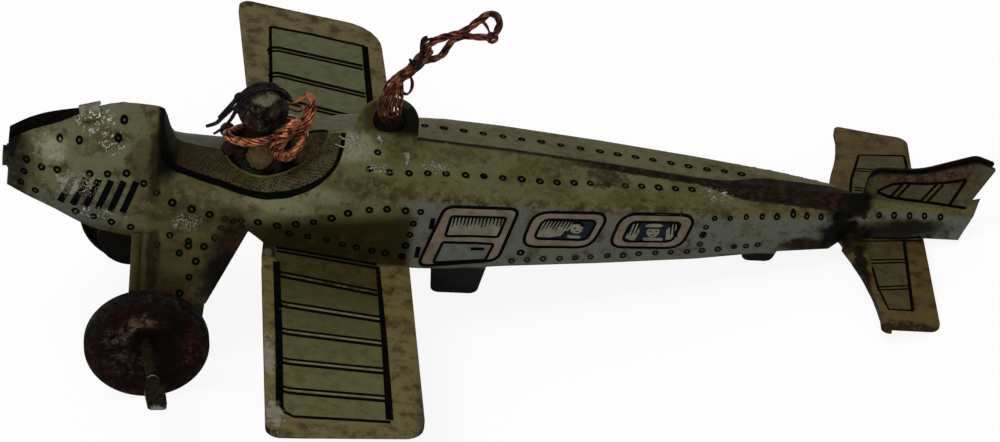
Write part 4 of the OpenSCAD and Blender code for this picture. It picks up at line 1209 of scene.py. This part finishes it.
# %% [markdown]
# Round the lug the wire was passed many times through the holes, so it lies there as a fan of
# separate turns. Seven go over the port ear and four over the starboard ear, each a little astray,
# and one more runs across them.

# %% Turns of wire round the lug
FAN = []
for k in range(7):
    t = k / 6
    j = [random.uniform(-0.22, 0.22) for _ in range(6)]
    FAN.append(([(43 + 0.9 * t, -0.1, 15.4), (42.5 + 1.6 * t, -1.05, 15 + 0.3 * t + j[0]),
                 (41.8 + 2.6 * t + j[1], -1.85, 16.4 + j[2]),
                 (41.5 + 2.7 * t + j[3], -1.7 - 0.2 * (k % 2), 18),
                 (42.4 + 1.9 * t, -1.2 + j[4], 19.7), (43.5 + 0.8 * t, -0.3 + j[5], 20.9),
                 (44.9 + 0.3 * t, 0.3 - 0.8 * t, 21.9)], 1, [0, 0], 0.2, 4))
for k in range(4):
    t = k / 3
    FAN.append(([(43 + 0.7 * t, 0.1, 15.5), (42.8 + 0.8 * t, 1, 15.2), (42.4 + 1.4 * t, 1.7, 17),
                 (42.8 + 1.2 * t, 1.3, 19.2), (43.9 + 0.5 * t, 0.3, 20.7)], 1, [0, 0], 0.2, 4))
FAN.append(([(42.2, -1.7, 16), (43.6, -2.05, 16.6), (44.4, -1.7, 18.2), (44, -1, 20),
             (44.6, 0, 21.3)], 1, [0, 0], 0.19, 4))
print("turns round the lug:", len(FAN))

# %% [markdown]
# Above the lug the turns meet in a thick rope, and the rope opens into a loop, by which the toy was
# hung. A stray end, a small curl and a side loop are bundles of their own.

# %% Rope and hanging loop
ROPE = [(43.4, 0, 20.1), (44, 0, 20.8), (45.1, 0, 21.9), (46, 0, 23.2), (46.7, 0, 24.3),
        (47.2, 0, 25)]
LOOP = [(46, -0.3, 23.6), (46.6, -0.45, 24.6), (46.8, -0.6, 25.85), (47.75, -0.7, 26.95),
        (49.35, -0.75, 27.65), (50.75, -0.75, 28.15), (51.55, -0.65, 28.9), (52.7, -0.45, 29.95),
        (53.75, -0.1, 30.55), (54.7, 0.15, 30.25), (55.2, 0.3, 29.2), (55.1, 0.5, 27.95),
        (54.8, 0.65, 27.05), (54.05, 0.75, 26.65), (52.7, 0.8, 26.65), (51.5, 0.85, 26.7),
        (50.4, 0.85, 26.35), (49.6, 0.8, 25.35), (48.95, 0.7, 24.05), (47.9, 0.6, 23.35),
        (46.5, 0.3, 23.2)]
hanger = FAN + [
    (ROPE, 6, [0.42, 0.56, 0.6, 0.5], 0.27, 7.5), (ROPE, 2, [0.2, 0.25], 0.22, 6),
    (LOOP, 4, [0.3, 0.34, 0.28, 0.3], 0.21, 5.5), (LOOP, 1, [0.1, 0.1], 0.16, 5),
    ([(53, -0.2, 29.7), (53.6, 0.1, 28.9), (54.1, 0.4, 27.8), (54.3, 0.6, 26.9)],
     2, [0.1, 0.1], 0.13, 5),
    ([(54.9, 0.3, 27.6), (55.1, 0.1, 26.9), (54.6, 0.1, 26.4), (54.1, 0.4, 26.7),
      (54.3, 0.9, 27.2), (54.9, 0.8, 26.9)], 3, [0.12, 0.12], 0.14, 3),
    ([(44.2, -0.5, 19.9), (44.4, -0.6, 19.1), (45, -0.6, 18.8), (45.45, -0.5, 19.4),
      (45.5, -0.4, 20.4), (45.2, -0.2, 21.2)], 2, [0.08, 0.1], 0.15, 4)]
hanger_piece = strands("lug_and_loop_strands", "hanger", "copper_wire", copper, hanger)
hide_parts("hanger_wire")

# %% [markdown]
# The rope round the pilot's neck was wound on later and knotted on the port side. Its ends stand up
# behind the head in a flat bow.

# %% Rope round the neck
NECK = [(31, -2.9, 14), (29, -3.3, 13.2), (26.4, -3.2, 12.5), (24.4, -2.3, 12.2),
        (23.7, -1.3, 12.2), (24.3, -0.1, 11.7), (25.6, 1.6, 11.3), (27.6, 2.5, 11.4),
        (29.6, 2.4, 11.8), (31.4, 1.2, 13.2), (32.1, -0.9, 14.2), (32, -2.6, 15)]
KNOT = [(32.3, -2.6, 15.6), (31, -3.6, 14.9), (30, -4, 13.8), (29.6, -4.3, 12.8),
        (29.9, -4.5, 11.9), (30.8, -4.5, 11.6), (31.7, -4.3, 12.1), (32.3, -3.9, 12.9),
        (32.9, -3.3, 13.7)]
BOW = [(31, -1.6, 17.3), (32, -1.9, 18.2), (32.9, -2.1, 19), (33.35, -2.2, 18.7),
       (33.4, -2.4, 17.6), (33.2, -2.7, 16.3), (32.6, -3.1, 15), (31.9, -3.5, 14.2)]
neck = [
    (NECK, 8, [0.45, 0.42, 0.42, 0.45], 0.165, 6), (NECK, 2, [0.15, 0.15], 0.17, 5),
    (KNOT, 11, [0.5, 0.85, 0.95, 0.7, 0.5, 0.45], 0.165, 5),
    (KNOT, 6, [0.35, 0.5, 0.5, 0.3], 0.165, 4),
    (BOW, 8, [0.1, 0.12, 0.45, 0.62, 0.7, 0.6], 0.15, 7),
    (BOW, 3, [0.1, 0.1, 0.25, 0.35, 0.3], 0.15, 7),
    ([(32.4, -1.8, 17.2), (33, -2.3, 16.4), (33, -2.8, 15.2), (32.4, -3.4, 14.2)],
     4, [0.1, 0.35, 0.4], 0.15, 5),
    ([(32, -3, 15.8), (32.8, -3.3, 14.6), (33.1, -3.2, 13.6)], 4, [0.3, 0.4], 0.15, 4)]
neck_piece = strands("neck_strands", "airframe", "copper_wire", copper, neck)
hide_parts("neck_wire")

# %% [markdown]
# A blackened wire lies over the pilot's head like a strap, with loose ends before and behind it,
# and dark ends stick out of the hanger. They are the same strands, thinner and with little twist.

# %% Dark strap over the head, and stray dark ends
dark, shader, where = new_paint("blackened wire", metallic=0.3, specular=0.08)
fine = noise(where, 1.6, 4, 0.6)
feed(shader, "Base Color", mix(band(fine, 0.4, 0.7), (0.003, 0.003, 0.003), (0.02, 0.014, 0.011)))
feed(shader, "Roughness", plus(times(fine, 0.4), 0.3))
HEAD = [(21.2, -1, 13.1), (22.3, -1.4, 13.9), (23, -1.6, 15), (24.4, -1.7, 17), (26, -1.4, 18.5),
        (28, -0.9, 18.95), (29.9, -0.4, 18.35), (31, 0, 17)]
HEAD_END = [(22.2, -1.2, 12.2), (23, -1.8, 13.4), (23.9, -2.2, 15), (24.7, -2.1, 16.8),
            (26, -1.7, 18.3), (28, -1.2, 18.9)]
HEAD_TOP = [(22.6, -1.3, 14.6), (23.4, -1.5, 15.9), (24.9, -1.4, 17.9), (26.6, -1, 19.2),
            (28.4, -0.8, 19.35), (29.3, -0.7, 18.9)]
head = [
    (HEAD, 2, [0.05, 0.16, 0.3, 0.3, 0.2], 0.17, 40),
    (HEAD_END, 2, [0.03, 0.12, 0.2, 0.2], 0.15, 40),
    (HEAD_TOP, 2, [0.05, 0.15, 0.25, 0.25], 0.2, 30),
    ([(30.6, -1.4, 17), (31.4, -1.8, 17.5), (32.2, -2, 17.3)], 1, [0, 0], 0.12, 5),
    ([(30.8, -1.8, 15.6), (31.6, -2.2, 15.7), (32.6, -2.4, 15.6)], 1, [0, 0], 0.13, 5),
    ([(30.9, -1.2, 16.4), (31.9, -1.6, 16.2), (32.4, -1.9, 16.6)], 1, [0, 0], 0.11, 5)]
head_piece = strands("head_strap", "airframe", "dark_wire", dark, head)
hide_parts("head_wire")
strands("hanger_stray_ends", "hanger", "dark_wire", dark, [
    ([(45.9, -0.8, 22.6), (46.2, -0.9, 24.2), (46.1, -0.8, 25.6), (46.25, -0.6, 26.9),
      (46.7, -0.5, 27.1)], 2, [0.12, 0.14], 0.19, 6),
    ([(46.3, -0.7, 26.4), (46.9, -0.7, 27), (47.3, -0.7, 27.1)], 1, [0, 0], 0.15, 6),
    ([(45.6, -0.5, 22.7), (45.1, -0.7, 23.4), (44.9, -0.7, 24)], 2, [0.08, 0.05], 0.14, 6)])
